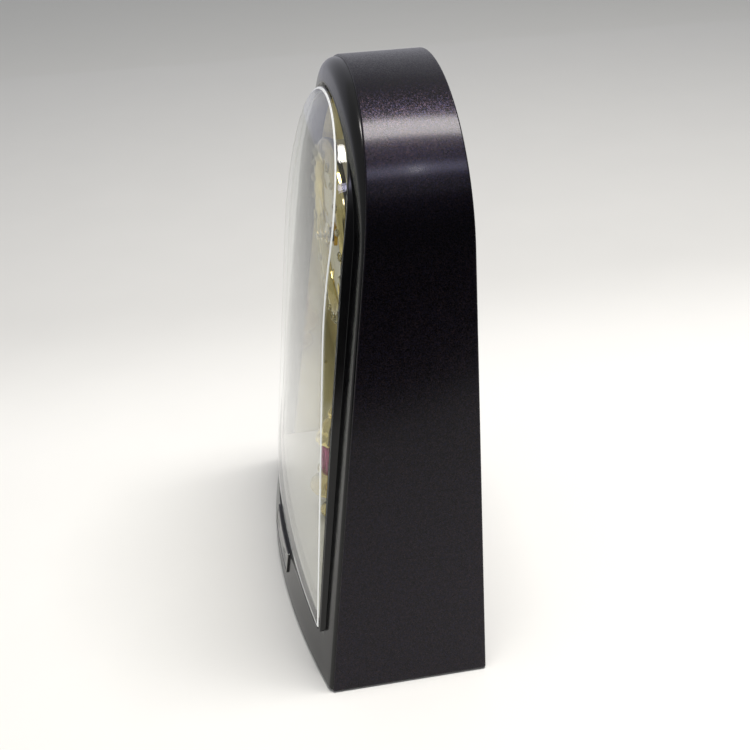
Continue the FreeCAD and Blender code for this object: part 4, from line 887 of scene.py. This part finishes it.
def clock_finishes():
    """Finishes of the parts taken straight from the CAD, by material slot."""
    return {
        # Satin paint over moulded panel: even cream with a faint orange-peel.
        "cream_panel": finish("styrene_panel_satin_cream", "#e6dfcd", 0.04, (0.3, 0.42), 1.5,
                              0.01, {"IOR": 1.5}),
        # Floor of the chamber: white moulding, nearly gloss, so it mirrors a little.
        "floor_white": finish("styrene_moulded_white", "#ecebe4", 0.03, (0.12, 0.2), 4.0, 0.01,
                              {"IOR": 1.55}),
        # Pads: matt black rubber with a dusty bloom.
        "foot_rubber": finish("rubber_moulded_black", "#1c1c1c", 0.3, (0.7, 0.9), 0.6, 0.03),
        # Zinc-plated screws: bright grey with a crystalline mottle.
        "screw_steel": finish("steel_zinc_plated", "#9fa0a4", 0.12, (0.25, 0.4), 0.5, 0.006,
                              METAL),
        # Rear mouldings: spark-eroded texture, grains 0.3 mm, drawn 0.7 mm.
        "rear_black": finish("abs_moulded_spark_eroded_black", "#19191b", 0.25, (0.5, 0.7), 0.7,
                             0.05, {"IOR": 1.53}),
        # Cells: green shrink sleeve, slightly wrinkled gloss.
        "cell_jacket": finish("pvc_sleeve_shrunk_green", "#2c6b3c", 0.1, (0.15, 0.3), 3.0, 0.02),
        # Contacts: nickel on spring steel.
        "contact_steel": finish("nickel_on_spring_steel", "#c5c2ba", 0.06, (0.15, 0.3), 0.8,
                                0.004, METAL),
        # Switch cap: pale grey moulding.
        "switch_plastic": finish("abs_moulded_grey", "#b6b6b3", 0.05, (0.35, 0.5), 0.5, 0.02),
        # Switch frame: tinned steel.
        "switch_metal": finish("steel_tinned", "#b0b0b2", 0.1, (0.25, 0.4), 1.0, 0.004, METAL),
        # Boards: solder mask over copper, green with a faint weave of the glass cloth.
        "circuit_board": finish("board_green_solder_mask", "#1d5a35", 0.2, (0.2, 0.35), 0.8,
                                0.01),
        # Chips and cans: moulded epoxy, matt charcoal.
        "component_black": finish("epoxy_moulded_charcoal", "#242426", 0.2, (0.5, 0.7), 0.4,
                                  0.01),
        # Leads: soft red PVC.
        "lead_insulation": finish("pvc_extruded_red", "#8e1f1c", 0.1, (0.4, 0.5), 2.0, 0.01),
        # Drum behind the dial: cream satin paint.
        "drum_cream": finish("styrene_drum_satin_cream", "#e2dac4", 0.04, (0.35, 0.45), 1.5,
                             0.01),
        "dial_face": printed_dial("#efe9d6", "#4a3a1c"),
        # Nut on the dial: turned brass, fine rings from the tool.
        "nut_brass": finish("brass_turned", "#cfa950", 0.08, (0.15, 0.3), 0.5, 0.006, METAL,
                            (1.0, 6.0, 1.0)),
        # Movement case: matt black moulding.
        "movement_plastic": finish("abs_moulded_matt_black", "#222224", 0.2, (0.5, 0.65), 0.6,
                                   0.02),
        # Wheels: acetal, milky white with a waxy gloss.
        "wheel_plastic": finish("acetal_moulded_white", "#e4e2d6", 0.03, (0.3, 0.4), 1.2, 0.006,
                                {"Subsurface Weight": 0.1, "Subsurface Scale": 0.002}),
        # Rotor: sintered magnet, dark and granular.
        "rotor_magnet": finish("ferrite_sintered", "#4a4a4d", 0.15, (0.45, 0.6), 0.3, 0.01,
                               METAL),
        # Stator: stamped sheet steel.
        "stator_steel": finish("steel_sheet_stamped", "#8d8f92", 0.1, (0.3, 0.45), 0.8, 0.006,
                               METAL),
        # Coil: enamelled wire, wound; copper with fine turns drawn out round it.
        "coil_copper": finish("copper_wire_enamelled", "#b8622f", 0.15, (0.2, 0.35), 0.4, 0.05,
                              METAL, (6.0, 0.4, 0.4)),
        # Knob: pale moulding.
        "knob_plastic": finish("abs_moulded_ivory", "#d0cfc9", 0.04, (0.35, 0.5), 0.6, 0.02),
        # Pinions and bush: hobbed brass.
        "gear_brass": finish("brass_hobbed", "#c9a14c", 0.08, (0.2, 0.35), 0.5, 0.006, METAL),
        # Motor can: drawn steel, zinc METAL, with faint drawing lines.
        "motor_can": finish("steel_drawn_zinc_plated", "#a5a6a9", 0.08, (0.22, 0.35), 0.8,
                            0.006, METAL, (4.0, 4.0, 0.5)),
        # Shafts: ground steel.
        "spindle_steel": finish("steel_ground", "#b4b5b8", 0.06, (0.12, 0.25), 0.5, 0.004,
                                METAL, (1.0, 1.0, 5.0)),
        # Stem of the ornament: bright gold plate.
        "ornament_gold": finish("gold_plate_stem", "#d9c684", 0.05, (0.05, 0.12), 2.0, 0.004,
                                METAL),
    }


class CLOCK_OT_stage(ClockPiece, bpy.types.Operator):
    """Set the pale floor, the soft lamps, the cards and the camera"""
    bl_idname = "clock.stage"
    bl_label = "Stage"

    def execute(self, context):
        stage = context.scene.clock_stage
        self.floor(stage)
        self.card("dark_card_room", (1.35, 0.1, 0.55), (0.0, 90.0), (1.5, 2.6), 0.07)
        self.card("dark_card_table", (1.15, 0.08, 0.006), (0.0, 0.0), (1.15, 2.2), 0.02)
        self.card("pale_card_backdrop", (-1.30, 0.1, 0.75), (0.0, 90.0), (1.7, 3.4), 0.50)
        self.lamp("lamp_overhead", (0.055, 0.28, 1.50), (0.30, 0.95), stage.overhead, "#fffbf6")
        self.lamp("lamp_window", (0.80, 0.30, 1.45), (0.16, 0.95), stage.window, "#d4d2f4")
        self.lamp("lamp_bulb", (0.805, 0.299, 1.44), (0.03, 0.03), 0.35, "#ffffff")
        world = bpy.data.worlds.new("studio_room")
        world.use_nodes = True
        world.node_tree.nodes["Background"].inputs["Color"].default_value = linear("#f3f4f6")
        world.node_tree.nodes["Background"].inputs["Strength"].default_value = stage.room
        context.scene.world = world
        context.scene.view_settings.view_transform = "Standard"
        self.camera(context)
        return {"FINISHED"}

    @staticmethod
    def floor(stage):
        """Pale table top, 12 m square, a little darker well to the left of its front."""
        material, tree, output = blank_material("laminate_table_pale")
        coords = add_node(tree, "ShaderNodeTexCoord")
        mottle = add_node(tree, "ShaderNodeTexNoise",
                          {"Scale": pattern_scale(60.0), "Detail": 5.0},
                          {"Vector": coords.outputs["Object"]})
        place = add_node(tree, "ShaderNodeSeparateXYZ", None,
                         {"Vector": coords.outputs["Object"]})
        fade = add_node(tree, "ShaderNodeMapRange",
                        {"interpolation_type": "SMOOTHSTEP", "From Min": -0.40,
                         "From Max": -0.16, "To Min": 0.0, "To Max": 1.0},
                        {"Value": place.outputs["X"]})
        tone = add_node(tree, "ShaderNodeMix",
                        {"data_type": "RGBA", MIX_A: linear("#d9d9d7"), MIX_B: stage.floor},
                        {0: fade.outputs["Result"]})
        wear = add_node(tree, "ShaderNodeMapRange", {"To Min": 0.97, "To Max": 1.0},
                        {"Value": mottle.outputs["Fac"]})
        colour = add_node(tree, "ShaderNodeVectorMath", {"operation": "SCALE"},
                          {0: tone.outputs[MIX_COLOUR], "Scale": wear.outputs["Result"]})
        rough = add_node(tree, "ShaderNodeMapRange", {"To Min": 0.45, "To Max": 0.6},
                         {"Value": mottle.outputs["Fac"]})
        body = add_node(tree, "ShaderNodeBsdfPrincipled", {"Specular IOR Level": 0.15},
                        {"Base Color": colour.outputs["Vector"],
                         "Roughness": rough.outputs["Result"]})
        tree.links.new(body.outputs["BSDF"], output.inputs["Surface"])
        side = 12.0
        top = flat_sheet("table_top", side, side, material)

    @staticmethod
    def card(name, at, tilt, size, grey):
        """Card of even brightness that shows only in gloss, as a studio's flags do."""
        material, tree, output = blank_material(name + "_paint")
        glow = add_node(tree, "ShaderNodeEmission", {"Color": (grey, grey, grey * 1.1, 1.0)})
        tree.links.new(glow.outputs["Emission"], output.inputs["Surface"])
        card = flat_sheet(name, size[0], size[1], material)
        card.location = at
        card.rotation_euler = (math.radians(tilt[0]), math.radians(tilt[1]), 0.0)
        for sight in ("camera", "diffuse", "transmission", "shadow", "volume_scatter"):
            setattr(card, "visible_" + sight, False)

    @staticmethod
    def lamp(name, at, size, power, shade_text):
        """Rectangular soft lamp aimed at the arch, its long side from front to back."""
        data = bpy.data.lights.new(name, "AREA")
        data.shape = "RECTANGLE"
        data.size, data.size_y = size
        data.energy = power
        data.color = linear(shade_text)[:3]
        lamp = bpy.data.objects.new(name, data)
        aim = Vector((0.05, 0.2, 0.25))
        away = (Vector(at) - aim).normalized()
        long = (Vector((0.0, 1.0, 0.0)) - away * away.y).normalized()
        turn = Matrix((long.cross(away), long, away)).transposed().to_4x4()
        lamp.matrix_world = Matrix.Translation(Vector(at)) @ turn
        # Only the overhead lamp lights the table; the others are seen in the gloss alone.
        lamp.visible_diffuse = name == "lamp_overhead"
        bpy.context.scene.collection.objects.link(lamp)

    @staticmethod
    def camera(context):
        """Camera aimed at the clock's middle, from its right and above, rolled slightly."""
        azimuth, elevation, roll = (math.radians(a) for a in (80.6008, 29.1667, -2.3639))
        back = np.array([math.sin(azimuth) * math.cos(elevation),
                         -math.cos(azimuth) * math.cos(elevation), math.sin(elevation)])
        level = np.array([math.cos(azimuth), math.sin(azimuth), 0.0])
        rise = np.cross(back, level)
        middle = np.array([0.0, 8.825, 150.0])
        away, aside, drop = 619.18, 5.3624, 23.6406
        at = middle + back * away + level * aside - rise * drop
        right = math.cos(roll) * level + math.sin(roll) * rise
        up = math.cos(roll) * rise - math.sin(roll) * level
        data = bpy.data.cameras.new("camera")
        data.sensor_width, data.lens = 36.0, 53.76
        data.clip_start, data.clip_end = 0.01, 30.0
        camera = bpy.data.objects.new("camera", data)
        turn = Matrix(np.stack([right, up, back], axis=1).tolist()).to_4x4()
        camera.matrix_world = Matrix.Translation(Vector((at * MM).tolist())) @ turn
        context.scene.collection.objects.link(camera)
        context.scene.camera = camera


class CLOCK_PT_panel(bpy.types.Panel):
    """Lists the clock's pieces and settings"""
    bl_idname = "CLOCK_PT_panel"
    bl_label = "Mantel Clock"
    bl_space_type = "VIEW_3D"
    bl_region_type = "UI"
    bl_category = "Clock"

    def draw(self, context):
        for group in (context.scene.clock_shape, context.scene.clock_stage):
            for name in group.__annotations__:
                self.layout.prop(group, name)
        for operator in OPERATORS:
            self.layout.operator(operator.bl_idname)


OPERATORS = (CLOCK_OT_case, CLOCK_OT_front_frame, CLOCK_OT_cover, CLOCK_OT_liner,
             CLOCK_OT_badge, CLOCK_OT_dial, CLOCK_OT_hands, CLOCK_OT_ornament,
             CLOCK_OT_finishes, CLOCK_OT_stage)
CLASSES = (ClockShape, ClockStage, *OPERATORS, CLOCK_PT_panel)


def register():
    for item in CLASSES:
        bpy.utils.register_class(item)
    bpy.types.Scene.clock_shape = bpy.props.PointerProperty(type=ClockShape)
    bpy.types.Scene.clock_stage = bpy.props.PointerProperty(type=ClockStage)


def unregister():
    del bpy.types.Scene.clock_stage
    del bpy.types.Scene.clock_shape
    for item in reversed(CLASSES):
        bpy.utils.unregister_class(item)


def main():
    """Build every piece in order."""
    register()
    for operator in OPERATORS:
        group, name = operator.bl_idname.split(".")
        if getattr(getattr(bpy.ops, group), name)() != {"FINISHED"}:
            raise RuntimeError(operator.bl_label + " was not built")


if __name__ == "__main__":
    main()
